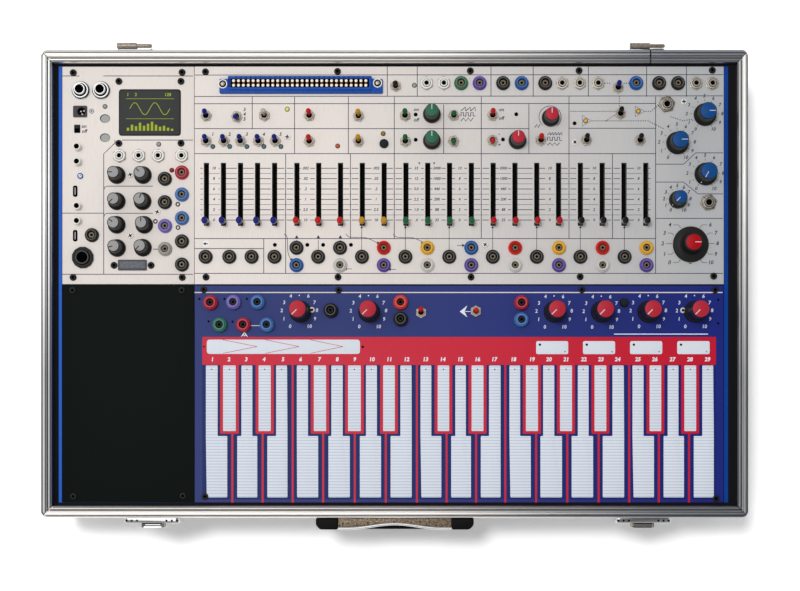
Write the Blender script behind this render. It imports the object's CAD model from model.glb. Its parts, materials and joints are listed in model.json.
"""A modular synthesizer in the open base of a carrying case, finished for a picture.

Shapes are worked out in millimetres in the frame of the packed model: +X to the right, +Y to the
hinges, +Z up out of the panels. They are turned into metres when a mesh is made."""

import json
import math
from collections import namedtuple

import bmesh
import bpy
import numpy as np
from bpy.props import FloatProperty, FloatVectorProperty, PointerProperty
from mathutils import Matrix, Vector

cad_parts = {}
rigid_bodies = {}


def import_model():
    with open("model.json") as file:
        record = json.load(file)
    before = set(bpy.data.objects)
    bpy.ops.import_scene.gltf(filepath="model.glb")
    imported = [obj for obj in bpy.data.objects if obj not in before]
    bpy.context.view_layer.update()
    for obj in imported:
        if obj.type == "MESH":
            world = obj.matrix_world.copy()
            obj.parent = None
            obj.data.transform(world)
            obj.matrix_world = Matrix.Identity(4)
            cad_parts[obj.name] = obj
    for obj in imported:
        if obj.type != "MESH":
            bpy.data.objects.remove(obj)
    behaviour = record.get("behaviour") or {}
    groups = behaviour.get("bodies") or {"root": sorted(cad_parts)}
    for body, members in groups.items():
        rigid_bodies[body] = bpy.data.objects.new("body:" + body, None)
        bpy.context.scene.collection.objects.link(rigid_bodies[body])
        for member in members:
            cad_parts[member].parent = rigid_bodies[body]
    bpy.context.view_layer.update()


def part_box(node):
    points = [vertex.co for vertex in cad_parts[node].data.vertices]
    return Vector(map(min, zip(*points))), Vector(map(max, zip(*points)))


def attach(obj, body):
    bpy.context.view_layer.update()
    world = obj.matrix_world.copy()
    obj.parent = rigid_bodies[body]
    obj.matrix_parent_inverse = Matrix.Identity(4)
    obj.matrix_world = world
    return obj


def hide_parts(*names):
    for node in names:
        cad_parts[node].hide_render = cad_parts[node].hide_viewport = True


bl_info = {
    "name": "Modular Synthesizer Case",
    "version": (1, 0, 0),
    "blender": (4, 5, 0),
    "location": "3D View > Sidebar > Synth",
    "description": "Builds the case, panels and controls of a modular synthesizer on its packed frame",
    "category": "Add Mesh",
}

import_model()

MM = 0.001
PIXEL = 0.8156
PHOTO_MIDDLE = (394.84, 284.5)
CASE_SHIFT = 2.85
CASE_BODY = "case"
PANEL, UNDERSIDE = 80.0, 78
SUNK = -0.05
INK_LOW, INK_HIGH = -0.08, 0.06
BUTTON_HOLE = 3.48

Part = namedtuple("Part", "points faces")
STEPS = []
glyphs = {}


def step(name, label, group="synth_case"):
    """Makes an operator of the building function that follows, run with the settings of the scene."""

    def add_step(build):
        def execute(self, context):
            build(getattr(context.scene, group))
            return {"FINISHED"}

        STEPS.append(type(f"SYNTH_OT_{name}", (bpy.types.Operator,), {
            "bl_idname": f"synth.{name}", "bl_label": label, "__doc__": build.__doc__, "execute": execute}))
        return build

    return add_step


# Shapes

def at(px, py):
    """Place on the panels, in millimetres, of a pixel of the photograph."""
    return (px - PHOTO_MIDDLE[0]) * PIXEL, (PHOTO_MIDDLE[1] - py) * PIXEL + CASE_SHIFT


def level(points, height):
    """Points of a plane with the height that they stand at."""
    return np.column_stack([points, np.full(len(points), height)])


def spots(pixels):
    """Places on the panels of many pixels, one row each."""
    return level([at(px, py) for px, py in pixels], PANEL)


def unit(vectors):
    """Each row divided by its length."""
    return vectors / np.linalg.norm(vectors, axis=1, keepdims=True)


def loft(rings, low=True, high=True, closed=False):
    """A grid surface: point j of ring i joins point j + 1 and the same two points of ring i + 1.

    The first and last ring are filled, or joined to each other on a closed tube."""
    rings = np.asarray(rings, float)
    count, around = rings.shape[:2]
    index = np.arange(count * around).reshape(count, around)
    lower = index if closed else index[:-1]
    upper = np.roll(index, -1, 0) if closed else index[1:]
    quads = [lower, np.roll(lower, -1, 1), np.roll(upper, -1, 1), upper]
    faces = [np.stack(quads, -1).reshape(-1, 4)]
    if low and not closed:
        faces.append(index[0][::-1][None])
    if high and not closed:
        faces.append(index[-1][None])
    return Part(rings.reshape(-1, 3), faces)


def turned(profile, sides=28, phase=0.0, flutes=0, depth=0.0, fluted=(0.0, 0.0)):
    """A profile of radius and height turned round Z.

    Between the two heights in fluted the radius is drawn in by depth times the mean of one and the
    cosine of flutes times the angle."""
    profile = np.asarray(profile, float)
    angle = phase + np.arange(sides) * 2 * math.pi / sides
    radius = profile[:, :1] * np.ones(sides)
    if flutes:
        band = (profile[:, 1:] >= fluted[0]) & (profile[:, 1:] <= fluted[1])
        radius = radius - band * depth * (0.5 + 0.5 * np.cos(flutes * angle))
    height = np.broadcast_to(profile[:, 1:], radius.shape)
    return loft(np.stack([radius * np.cos(angle), radius * np.sin(angle), height], -1))


def ring(inner, outer, low, high, sides=28):
    """A flat ring as a closed tube of rectangular section."""
    angle = np.arange(sides)[:, None] * 2 * math.pi / sides
    radius = np.array([inner, outer, outer, inner])
    height = np.broadcast_to([high, high, low, low], (sides, 4))
    return loft(np.stack([radius * np.cos(angle), radius * np.sin(angle), height], -1), closed=True)


def moved(part, offset=(0.0, 0.0, 0.0), turn=0.0, tilt=0.0):
    """The part tilted about X, then turned about Z, then shifted."""
    ct, st, cz, sz = math.cos(tilt), math.sin(tilt), math.cos(turn), math.sin(turn)
    about_x = np.array([[1, 0, 0], [0, ct, -st], [0, st, ct]])
    about_z = np.array([[cz, -sz, 0], [sz, cz, 0], [0, 0, 1]])
    return Part(part.points @ (about_z @ about_x).T + np.asarray(offset, float), part.faces)


def swapped(part, order, offset=(0.0, 0.0, 0.0)):
    """The part with its axes in another order, shifted, its faces turned over if they point inwards."""
    return outward(Part(part.points[:, order] + np.asarray(offset, float), part.faces))


def outward(part):
    """The part with its faces turned over if they enclose a negative volume."""
    volume = 0.0
    for group in part.faces:
        corner = part.points[group]
        for k in range(1, group.shape[1] - 1):
            volume += np.einsum("ij,ij->i", corner[:, 0], np.cross(corner[:, k], corner[:, k + 1])).sum()
    return part if volume > 0 else Part(part.points, [group[:, ::-1] for group in part.faces])


def merged(parts):
    """Several parts as one, their face numbers raised by the points that come before."""
    points, faces, start = [], [], 0
    for part in parts:
        points.append(part.points)
        faces.extend(group + start for group in part.faces)
        start += len(part.points)
    return Part(np.concatenate(points), faces)


def many(part, places, turns=None):
    """A copy of the part at each place, turned about Z by its own angle if angles are given."""
    places = np.asarray(places, float)
    points = np.repeat(part.points[None], len(places), 0)
    if turns is not None:
        cosine, sine = np.cos(turns)[:, None], np.sin(turns)[:, None]
        x, y = points[..., 0].copy(), points[..., 1].copy()
        points[..., 0] = x * cosine - y * sine
        points[..., 1] = x * sine + y * cosine
    points = points + places[:, None]
    steps = np.arange(len(places)) * len(part.points)
    faces = [(group[None] + steps[:, None, None]).reshape(-1, group.shape[1]) for group in part.faces]
    return Part(points.reshape(-1, 3), faces)


def rounded(corners, radius, steps=4):
    """An outline with each corner replaced by an arc that meets both sides at the same distance."""
    corners = np.asarray(corners, float)
    before, after = np.roll(corners, 1, 0) - corners, np.roll(corners, -1, 0) - corners
    shorter = np.minimum(np.linalg.norm(before, axis=1), np.linalg.norm(after, axis=1))
    reach = np.minimum(radius, 0.45 * shorter)[:, None]
    start, end = (corners + unit(before) * reach)[:, None], (corners + unit(after) * reach)[:, None]
    t = np.linspace(0, 1, steps + 1)[None, :, None]
    return ((1 - t) ** 2 * start + 2 * t * (1 - t) * corners[:, None] + t**2 * end).reshape(-1, 2)


def box_outline(x0, x1, y0, y1):
    """Four corners of a rectangle, counter-clockwise."""
    return np.array([[x0, y0], [x1, y0], [x1, y1], [x0, y1]], float)


def inset(outline, distance):
    """Each point moved inwards along the mean of the normals of its two sides."""
    ahead = np.roll(outline, -1, 0) - outline
    normal = unit(np.column_stack([-ahead[:, 1], ahead[:, 0]]))
    mean = normal + np.roll(normal, 1, 0)
    mean /= np.maximum(np.einsum("ij,ij->i", mean, mean)[:, None] / 2, 0.3)
    return outline + mean * distance


def slab(outline, low, high, edge=0.0, steps=2):
    """An outline raised from one height to another, its top edge rounded by a quarter circle."""
    outline = np.asarray(outline, float)
    levels = [(0.0, low), (0.0, high - edge)]
    for k in range(1, steps + 1 if edge else 1):
        angle = k * math.pi / 2 / steps
        levels.append((edge * (1 - math.cos(angle)), high - edge + edge * math.sin(angle)))
    return loft([level(inset(outline, distance) if distance else outline, z) for distance, z in levels])


def block(x0, x1, y0, y1, low, high, edge=0.3, corner=0.6):
    """A block with rounded upright corners and a rounded top edge."""
    return slab(rounded(box_outline(x0, x1, y0, y1), corner, 3), low, high, edge)


def patch(x0, x1, y0, y1, low=SUNK, high=0.05, edge=0.0, corner=0.4):
    """A block over a box of pixels of the photograph, its heights counted from the panels."""
    (left, top), (right, bottom) = at(x0, y0), at(x1, y1)
    return block(left, right, bottom, top, PANEL + low, PANEL + high, edge, corner)


def plate(bounds, openings):
    """A panel with rectangular openings, from the grid of all their edges.

    A cell of the grid is metal unless its middle lies in an opening, and a wall stands on each side
    where a metal cell meets an empty one."""
    x0, x1, y0, y1 = bounds
    openings = np.asarray(openings, float)
    xs = np.unique(np.concatenate([[x0, x1], openings[:, 0], openings[:, 1]]))
    ys = np.unique(np.concatenate([[y0, y1], openings[:, 2], openings[:, 3]]))
    middle_x = (xs[:-1] + xs[1:])[:, None] / 2
    middle_y = (ys[:-1] + ys[1:])[None, :] / 2
    metal = np.ones((len(xs) - 1, len(ys) - 1), bool)
    for a, b, c, d in openings:
        metal &= ~((middle_x > a) & (middle_x < b) & (middle_y > c) & (middle_y < d))
    gx, gy = np.meshgrid(xs, ys, indexing="ij")
    layers = [np.stack([gx, gy, np.full(gx.shape, z)], -1).reshape(-1, 3) for z in (UNDERSIDE, PANEL)]
    index = np.arange(gx.size).reshape(gx.shape)
    top = index + gx.size
    i, j = np.nonzero(metal)
    faces = [np.stack([top[i, j], top[i + 1, j], top[i + 1, j + 1], top[i, j + 1]], -1),
             np.stack([index[i, j], index[i, j + 1], index[i + 1, j + 1], index[i + 1, j]], -1)]
    wide = np.pad(metal, 1)
    columns, rows = metal.shape
    walls = ((-1, 0, (0, 1), (0, 0)), (1, 0, (1, 0), (1, 1)), (0, -1, (0, 0), (1, 0)), (0, 1, (1, 1), (0, 1)))
    for across, up, first, second in walls:
        i, j = np.nonzero(metal & ~wide[1 + across:1 + across + columns, 1 + up:1 + up + rows])
        start, end = index[i + first[0], j + first[1]], index[i + second[0], j + second[1]]
        faces.append(np.stack([start, end, end + gx.size, start + gx.size], -1))
    return Part(np.concatenate(layers), [group for group in faces if len(group)])


def pierced(bounds, centre, edge=0.0, rays=32):
    """A panel with the round hole of a push button: points of its sides and of the hole at the same
    angles are joined.

    The angles are even steps and the four corners, and the distance to a side is the smaller of the
    distances to the nearest upright and level side."""
    x0, x1, y0, y1 = bounds
    corners = box_outline(x0, x1, y0, y1) - centre
    even = np.arange(rays) * 2 * math.pi / rays - math.pi
    angle = np.unique(np.round(np.concatenate([even, np.arctan2(corners[:, 1], corners[:, 0])]), 6))
    way = np.column_stack([np.cos(angle), np.sin(angle)])
    sides = np.where(way > 0, [x1, y1], [x0, y0]) - centre
    reach = (np.abs(sides) / np.maximum(np.abs(way), 1e-9)).min(1, keepdims=True)
    outer, hole = centre + way * reach, centre + way * BUTTON_HOLE
    levels = [(outer, UNDERSIDE), (outer, PANEL - edge), (inset(outer, edge), PANEL), (hole, PANEL),
              (hole, UNDERSIDE)]
    if not edge:
        del levels[1]
    return loft([level(points, z) for points, z in levels], closed=True)


def swept(path, section, up=(0.0, 0.0, 1.0)):
    """A closed section of side and up values carried along a path of points, square to it."""
    path = np.asarray(path, float)
    ahead = unit(np.gradient(path, axis=0))
    side = unit(np.cross(ahead, np.asarray(up, float)))
    raised = np.cross(side, ahead)
    return loft(path[:, None] + side[:, None] * section[:, :1] + raised[:, None] * section[:, 1:])


def oval(half_side, half_up, sides, power=2.0):
    """A closed curve whose side and up values are powers of the cosine and the sine."""
    angle = np.arange(sides) * 2 * math.pi / sides
    wave = np.column_stack([np.cos(angle), np.sin(angle)])
    return np.sign(wave) * np.abs(wave) ** (2 / power) * [half_side, half_up]


def stroke(pixels, width, base=PANEL, closed=False):
    """A printed line along pixels of the photograph: a flat bar with mitred bends."""
    points = np.array([at(*pixel) for pixel in pixels])
    if closed:
        ahead = unit(np.roll(points, -1, 0) - points) + unit(points - np.roll(points, 1, 0))
    else:
        ahead = np.gradient(points, axis=0)
    ahead = unit(ahead)
    side = np.column_stack([ahead[:, 1], -ahead[:, 0]]) * width / 2
    corners = [(-1, INK_HIGH), (1, INK_HIGH), (1, INK_LOW), (-1, INK_LOW)]
    return loft(np.stack([level(points + side * way, base + z) for way, z in corners], 1), closed=closed)


def printed(radius, sides, high=INK_HIGH):
    """A round printed dot."""
    return turned([(radius, INK_LOW), (radius, high)], sides)


def dotted(pixels, spacing, radius):
    """Round printed dots at equal steps along a line of pixels."""
    points = np.array([at(*pixel) for pixel in pixels])
    steps = np.concatenate([[0], np.cumsum(np.linalg.norm(np.diff(points, axis=0), axis=1))])
    along = np.arange(0, steps[-1], spacing)
    places = np.column_stack([np.interp(along, steps, points[:, 0]), np.interp(along, steps, points[:, 1])])
    return many(printed(radius, 6), level(places, PANEL))


def printed_shape(pixels):
    """A solid printed shape whose corners are pixels, in either order round it."""
    outline = np.array([at(*pixel) for pixel in pixels])
    x, y = outline.T
    area = np.sum(x * np.roll(y, -1) - np.roll(x, -1) * y)
    return slab(outline if area > 0 else outline[::-1], PANEL + INK_LOW, PANEL + INK_HIGH)


def arrow_head(x, y, way, size):
    """A solid head that points along a way, given as pixels to the right and down."""
    dx, dy = way
    back_x, back_y = x - dx * size * 0.4, y - dy * size * 0.4
    return printed_shape([(x + dx * size, y + dy * size),
                          (back_x - dy * size * 0.8, back_y + dx * size * 0.8),
                          (back_x + dy * size * 0.8, back_y - dx * size * 0.8)])


def swept_head(x, y, way, length, half):
    """A solid arrow head with swept-back wings, its point at a pixel."""
    dx, dy = way
    back_x, back_y = x - dx * length, y - dy * length
    return printed_shape([(x, y), (back_x - dy * half, back_y + dx * half),
                          (x - dx * length * 0.62, y - dy * length * 0.62),
                          (back_x + dy * half, back_y - dx * half)])


def glyph(text, weight):
    """The outline of a few figures, one unit high and swollen by a weight, made from the built-in font."""
    if (text, weight) not in glyphs:
        curve = bpy.data.curves.new("figure", "FONT")
        curve.body = text
        curve.align_x = "CENTER"
        curve.align_y = "CENTER"
        curve.resolution_u = 2
        curve.extrude = 0.05
        curve.offset = weight
        holder = bpy.data.objects.new("figure", curve)
        mesh = bpy.data.meshes.new_from_object(holder)
        points = np.empty(len(mesh.vertices) * 3)
        mesh.vertices.foreach_get("co", points)
        faces = {}
        for polygon in mesh.polygons:
            faces.setdefault(len(polygon.vertices), []).append(list(polygon.vertices))
        bpy.data.meshes.remove(mesh)
        bpy.data.objects.remove(holder)
        bpy.data.curves.remove(curve)
        glyphs[text, weight] = Part(points.reshape(-1, 3), [np.array(group) for group in faces.values()])
    return glyphs[text, weight]


def figures(items, size, slant=0.18, base=PANEL, weight=0.022):
    """Printed figures at pixels of the photograph, leaning to the right by slant times the height."""
    parts = []
    for text, px, py in items:
        shape = glyph(text, weight)
        x, y, z = shape.points.T
        left, low = at(px, py)
        height = np.where(z > 0, base + INK_HIGH, base + INK_LOW)
        parts.append(Part(np.column_stack([(x + slant * y) * size + left, y * size + low, height]),
                          shape.faces))
    return merged(parts)


def weld(mesh, distance=1e-7):
    """Makes points of a mesh that coincide one and drops the faces that have no area left."""
    shape = bmesh.new()
    shape.from_mesh(mesh)
    bmesh.ops.remove_doubles(shape, verts=shape.verts, dist=distance)
    bmesh.ops.dissolve_degenerate(shape, edges=shape.edges, dist=distance)
    shape.to_mesh(mesh)
    shape.free()


def piece(name, body, layers, stands_for=(), sharp=35.0):
    """One object riding on a body of the model, from parts or lists of parts and the names of their
    finishes."""
    points, faces, finish_of, finishes, start = [], [], [], [], 0
    for part, surface in layers:
        if isinstance(part, list):
            part = merged(part)
        if surface not in finishes:
            finishes.append(surface)
        points.append(part.points)
        for group in part.faces:
            faces.extend((group + start).tolist())
            finish_of.extend([finishes.index(surface)] * len(group))
        start += len(part.points)
    mesh = bpy.data.meshes.new(name)
    mesh.from_pydata((np.concatenate(points) * MM).tolist(), [], faces)
    for surface in finishes:
        mesh.materials.append(finish(surface))
    mesh.polygons.foreach_set("material_index", finish_of)
    mesh.polygons.foreach_set("use_smooth", [True] * len(finish_of))
    weld(mesh)
    mesh.set_sharp_from_angle(angle=math.radians(sharp))
    made = bpy.data.objects.new(name, mesh)
    bpy.context.collection.objects.link(made)
    if stands_for:
        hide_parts(*stands_for)
    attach(made, body)


def planted(name, pixels, layers, turns=None):
    """One piece of the same parts at many pixels of the photograph, standing on the panels."""
    where = spots(pixels)
    piece(name, CASE_BODY, [(many(part, where, turns), surface) for part, surface in layers])


def sides_of(node):
    """Left, right, front, back, bottom and top of a node of the model at rest, in millimetres."""
    low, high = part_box(node)
    return [value / MM for pair in zip(low, high) for value in pair]


def centre_of(node):
    """Middle in X and Y of a node of the model at rest, in millimetres."""
    low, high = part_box(node)
    return (low[0] + high[0]) / 2 / MM, (low[1] + high[1]) / 2 / MM


# Finishes

def srgb(red, green, blue):
    """Linear colour of screen values from 0 to 255."""
    values = np.array([red, green, blue]) / 255
    return tuple(np.where(values <= 0.04045, values / 12.92, ((values + 0.055) / 1.055) ** 2.4).tolist())


SILVER, BLACK, BLUE, RED = srgb(221, 213, 207), srgb(14, 19, 18), srgb(56, 65, 116), srgb(198, 54, 70)

# Colour, metallic, roughness, grain, spread of the tone, relief and what differs from the usual
FINISHES = {
    "chrome plating": (srgb(225, 225, 226), 1.0, 0.14, 300, 0.03, 0.04, {"uneven": 0.06}),
    "nickel plating": (srgb(196, 189, 178), 0.85, 0.28, 700, 0.1, 0.08, {}),
    "bushing steel": (srgb(158, 148, 136), 0.85, 0.26, 700, 0.3, 0.1, {}),
    "frosted plating": (srgb(224, 222, 216), 0.55, 0.42, 900, 0.05, 0.08, {}),
    "contact brass": (srgb(124, 112, 92), 0.5, 0.5, 1200, 0.25, 0.1, {}),
    "hole black": (srgb(5, 5, 6), 0.0, 0.9, 1500, 0.1, 0.0, {"shine": 0.0}),
    "printing ink": (srgb(48, 52, 80), 0.0, 0.6, 3000, 0.12, 0.05, {}),
    "pale printing ink": (srgb(90, 91, 106), 0.0, 0.6, 3000, 0.12, 0.05, {}),
    "bright printing": (srgb(236, 234, 230), 0.0, 0.6, 3000, 0.04, 0.05, {}),
    "white ink": (srgb(222, 226, 236), 0.0, 0.6, 3000, 0.05, 0.05, {}),
    "dim white ink": (srgb(206, 211, 228), 0.0, 0.6, 3000, 0.05, 0.05, {}),
    "cream rule": (srgb(212, 204, 198), 0.0, 0.6, 3000, 0.05, 0.05, {}),
    "pointer paint": (srgb(206, 206, 208), 0.0, 0.6, 3000, 0.05, 0.05, {}),
    "black laminate": (srgb(38, 38, 41), 0.0, 0.5, 1500, 0.25, 0.6, {"height": 0.0002}),
    "dark lining": (srgb(20, 20, 22), 0.0, 0.95, 2200, 0.4, 0.8, {"height": 0.0003}),
    "band aluminium": (srgb(196, 196, 198), 1.0, 0.34, 500, 0.06, 0.08, {"stretch": (0.05, 0.05, 1)}),
    "aluminium along X": (srgb(247, 244, 241), 1.0, 0.3, 420, 0.06, 0.1, {
        "stretch": (0.03, 1, 1), "uneven": 0.08, "far": srgb(164, 167, 174), "span": (0.02, 0.22)}),
    "aluminium along Y": (srgb(176, 178, 180), 1.0, 0.3, 420, 0.06, 0.1, {
        "stretch": (1, 0.03, 1), "uneven": 0.08, "far": srgb(248, 248, 247), "span": (-0.07, 0.08),
        "axis": "Y"}),
    "groove shade": (srgb(104, 102, 98), 0.3, 0.6, 700, 0.3, 0.1, {}),
    "blue enamel": (srgb(34, 90, 188), 0.0, 0.35, 500, 0.08, 0.15, {"far": srgb(8, 60, 142)}),
    "panel silver": (SILVER, 0.1, 0.48, 1300, 0.035, 0.12, {
        "stretch": (1, 0.06, 1), "uneven": 0.06, "height": 0.00003, "far": srgb(174, 176, 178)}),
    "panel black": (BLACK, 0.0, 0.5, 1500, 0.25, 0.3, {"shine": 0.04}),
    "panel blue": (BLUE, 0.0, 0.5, 1500, 0.08, 0.2, {"shine": 0.05, "far": srgb(30, 40, 118)}),
    "slot lip": (srgb(12, 12, 13), 0.0, 0.85, 1800, 0.3, 0.1, {}),
    "red edge": (srgb(96, 18, 34), 0.0, 0.5, 1500, 0.2, 0.1, {}),
    "board green": (srgb(24, 62, 44), 0.0, 0.5, 800, 0.25, 0.25, {}),
    "fader housing": (srgb(70, 70, 72), 0.8, 0.4, 900, 0.15, 0.1, {}),
    "fader stem": (srgb(120, 120, 122), 1.0, 0.35, 900, 0.1, 0.1, {}),
    "socket seat": (srgb(84, 84, 84), 0.3, 0.4, 1200, 0.1, 0.1, {}),
    "bright screw": (srgb(222, 220, 216), 0.2, 0.4, 900, 0.05, 0.08, {}),
    "grey knob cap": (srgb(150, 150, 150), 0.0, 0.45, 1200, 0.06, 0.1, {}),
    "grey button": (srgb(158, 161, 157), 0.0, 0.4, 1200, 0.06, 0.1, {}),
    "button rubber": (srgb(26, 32, 38), 0.0, 0.5, 1800, 0.12, 0.2, {}),
    "port steel": (srgb(150, 150, 152), 1.0, 0.35, 900, 0.1, 0.1, {}),
    "inlet plastic": (srgb(70, 66, 70), 0.0, 0.45, 1500, 0.1, 0.2, {}),
    "connector slate": (srgb(78, 82, 88), 0.3, 0.45, 1000, 0.3, 0.1, {}),
    "connector well": (srgb(104, 107, 111), 0.1, 0.6, 700, 0.35, 0.1, {}),
    "connector blue": (srgb(32, 76, 158), 0.0, 0.4, 500, 0.2, 0.25, {}),
    "connector slot": (srgb(74, 30, 20), 0.0, 0.7, 900, 0.2, 0.1, {}),
    "connector shade": (srgb(12, 44, 120), 0.0, 0.5, 900, 0.2, 0.1, {}),
    "gold contacts": (srgb(240, 226, 204), 0.3, 0.35, 900, 0.1, 0.05, {}),
    "display glass": (srgb(56, 57, 57), 0.0, 0.55, 1600, 0.08, 0.05, {"uneven": 0.05}),
    "display figures": (srgb(150, 164, 44), 0.0, 0.5, 900, 0.05, 0.0, {"glow": 0.05}),
    "pad metal": (srgb(214, 219, 228), 0.0, 0.5, 900, 0.02, 0.05, {}),
    "key surround": (srgb(40, 52, 100), 0.0, 0.5, 1400, 0.1, 0.1, {"shine": 0.05, "far": srgb(26, 36, 108)}),
    "keyboard red": (RED, 0.0, 0.45, 1400, 0.08, 0.1, {"shine": 0.05, "far": srgb(188, 26, 48)}),
    "brushed plate": (srgb(132, 117, 100), 0.75, 0.36, 700, 1.0, 1.0, {"uneven": 0.2, "height": 0.0004}),
    "handle ends": (srgb(13, 14, 13), 0.0, 0.42, 2000, 0.3, 0.3, {"shine": 0.08}),
    "grip rubber": (srgb(26, 26, 28), 0.0, 0.6, 1500, 0.2, 0.4, {"height": 0.0002}),
}
PLASTICS = {
    "red": (206, 34, 10), "blue": (14, 80, 150), "green": (50, 102, 72), "violet": (86, 66, 148),
    "black": (28, 28, 28), "grey": (152, 149, 145), "white": (197, 196, 193), "yellow": (216, 162, 30),
    "crimson": (166, 32, 54), "azure": (60, 106, 166), "jade": (46, 112, 92), "lilac": (110, 98, 172),
    "orange": (206, 56, 44), "pearl": (192, 191, 187), "navy": (10, 24, 112), "scarlet": (178, 14, 8),
    "mustard": (176, 128, 6), "leaf": (12, 86, 48), "putty": (176, 168, 158), "jet": (14, 14, 15),
    "ruby": (172, 36, 52), "wine": (164, 6, 20), "fern": (44, 98, 74), "cobalt": (12, 68, 128),
}
LAMPS = {
    "pale": ((226, 220, 120), [(287.3, 109.4)]), "olive": ((134, 116, 24), [(383.2, 133.8)]),
    "amber": ((216, 166, 30), [(585.6, 121), (638.3, 111.5)]), "orange": ((180, 80, 20), [(337.7, 146.2)]),
    "red": ((140, 18, 36), [(171.9, 170.3)]),
    "teal": ((70, 110, 122), [(x, 146.7) for x in (212.9, 229.8, 246.9, 264, 281)]),
    "clear": ((150, 152, 148), [(414.4, 85.5), (105.1, 106.6), (158.8, 144.4)]),
}
# The rings of the red sockets share the red edge of the table, so its row isn't replaced
for shade, screen in PLASTICS.items():
    FINISHES[f"{shade} plastic"] = (srgb(*screen), 0.0, 0.32, 1800, 0.07, 0.08, {"shine": 0.18})
    paler = tuple(0.8 * value + 0.09 for value in srgb(*screen))
    FINISHES.setdefault(f"{shade} edge", (paler, 0.0, 0.3, 1800, 0.05, 0.05, {}))
for shade, (screen, _) in LAMPS.items():
    FINISHES[f"lamp {shade}"] = (srgb(*screen), 0.0, 0.2, 900, 0.12, 0.05, {"shine": 0.5})


def new_finish(name):
    """An empty node material, its shader and two helpers, one that adds a node and one that links nodes."""
    material = bpy.data.materials.new(name)
    material.use_nodes = True
    tree = material.node_tree

    def add(kind, operation=None, **values):
        node = tree.nodes.new(kind)
        if operation:
            node.operation = operation
        for key, value in values.items():
            node.inputs[key.replace("_", " ")].default_value = value
        return node

    def link(*rows):
        for source, output, target, entry in rows:
            tree.links.new(source.outputs[output], target.inputs[entry])

    return material, tree.nodes["Principled BSDF"], add, link


def grained(name, colour, metallic, roughness, grain, spread, relief, stretch=(1, 1, 1), uneven=0.1,
            height=0.00005, shine=0.12, glow=0.0, far=None, span=(-0.05, 0.27), axis="X"):
    """A finish whose colour, roughness and relief follow one noise in Object coordinates.

    Over the span, along the axis, its colour turns into the far one."""
    material, shader, add, link = new_finish(name)
    shader.inputs["Metallic"].default_value = metallic
    shader.inputs["Specular IOR Level"].default_value = shine
    place = add("ShaderNodeTexCoord")
    mapping = add("ShaderNodeMapping", Scale=stretch)
    noise = add("ShaderNodeTexNoise", Scale=grain, Detail=4.0, Roughness=0.6)
    split = add("ShaderNodeSeparateXYZ")
    across = add("ShaderNodeMapRange", From_Min=span[0], From_Max=span[1])
    ramp = add("ShaderNodeValToRGB")
    ramp.color_ramp.elements[0].color = (*colour, 1)
    ramp.color_ramp.elements[1].color = (*(far or colour), 1)
    tone = add("ShaderNodeMapRange", From_Min=0.3, From_Max=0.7, To_Min=1 - spread, To_Max=1 + spread)
    tinted = add("ShaderNodeVectorMath", "SCALE")
    rough = add("ShaderNodeMapRange", To_Min=max(roughness - uneven, 0.03), To_Max=min(roughness + uneven, 1))
    bump = add("ShaderNodeBump", Strength=relief, Distance=height)
    link((place, "Object", mapping, "Vector"), (mapping, "Vector", noise, "Vector"),
         (place, "Object", split, "Vector"), (split, axis, across, "Value"), (across, "Result", ramp, "Fac"),
         (noise, "Fac", tone, "Value"), (ramp, "Color", tinted, "Vector"), (tone, "Result", tinted, "Scale"),
         (tinted, "Vector", shader, "Base Color"), (noise, "Fac", rough, "Value"),
         (rough, "Result", shader, "Roughness"), (noise, "Fac", bump, "Height"),
         (bump, "Normal", shader, "Normal"))
    if glow:
        shader.inputs["Emission Color"].default_value = (*colour, 1)
        shader.inputs["Emission Strength"].default_value = glow
    return material


def striped(name, colour, dark, pitch, share, roughness):
    """A finish with fine lines across Y: a saw of the Object height of Y, cut at a share of its pitch."""
    material, shader, add, link = new_finish(name)
    shader.inputs["Specular IOR Level"].default_value = 0.15
    place = add("ShaderNodeTexCoord")
    split = add("ShaderNodeSeparateXYZ")
    scale = add("ShaderNodeMath", "DIVIDE")
    scale.inputs[1].default_value = pitch
    saw = add("ShaderNodeMath", "FRACT")
    ramp = add("ShaderNodeValToRGB")
    ramp.color_ramp.elements[0].position = share
    ramp.color_ramp.elements[1].position = share + 0.3
    ramp.color_ramp.elements[0].color = (*dark, 1)
    ramp.color_ramp.elements[1].color = (*colour, 1)
    noise = add("ShaderNodeTexNoise", Scale=2500.0, Detail=3.0)
    rough = add("ShaderNodeMapRange", To_Min=roughness - 0.1, To_Max=roughness + 0.15)
    bump = add("ShaderNodeBump", Strength=0.25, Distance=0.00006)
    link((place, "Object", split, "Vector"), (place, "Object", noise, "Vector"), (split, "Y", scale, 0),
         (scale, "Value", saw, 0), (saw, "Value", ramp, "Fac"), (ramp, "Color", shader, "Base Color"),
         (noise, "Fac", rough, "Value"), (rough, "Result", shader, "Roughness"),
         (noise, "Fac", bump, "Height"), (bump, "Normal", shader, "Normal"))
    return material


def finish(name, colour=None):
    """The finish of that name, made from its row of the table when it is first asked for."""
    if name in bpy.data.materials:
        return bpy.data.materials[name]
    usual, *values, more = FINISHES[name]
    return grained(name, tuple(colour or usual), *values, **more)


def dress(node, surface):
    """Gives every material slot of a node of the model the same finish."""
    for item in bpy.data.objects:
        if item.type == "MESH" and item.name.split(".")[0] == node:
            for slot in item.material_slots:
                slot.material = finish(surface)
            if not item.material_slots:
                item.data.materials.append(finish(surface))


# Places read off the photograph, in its pixels

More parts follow.
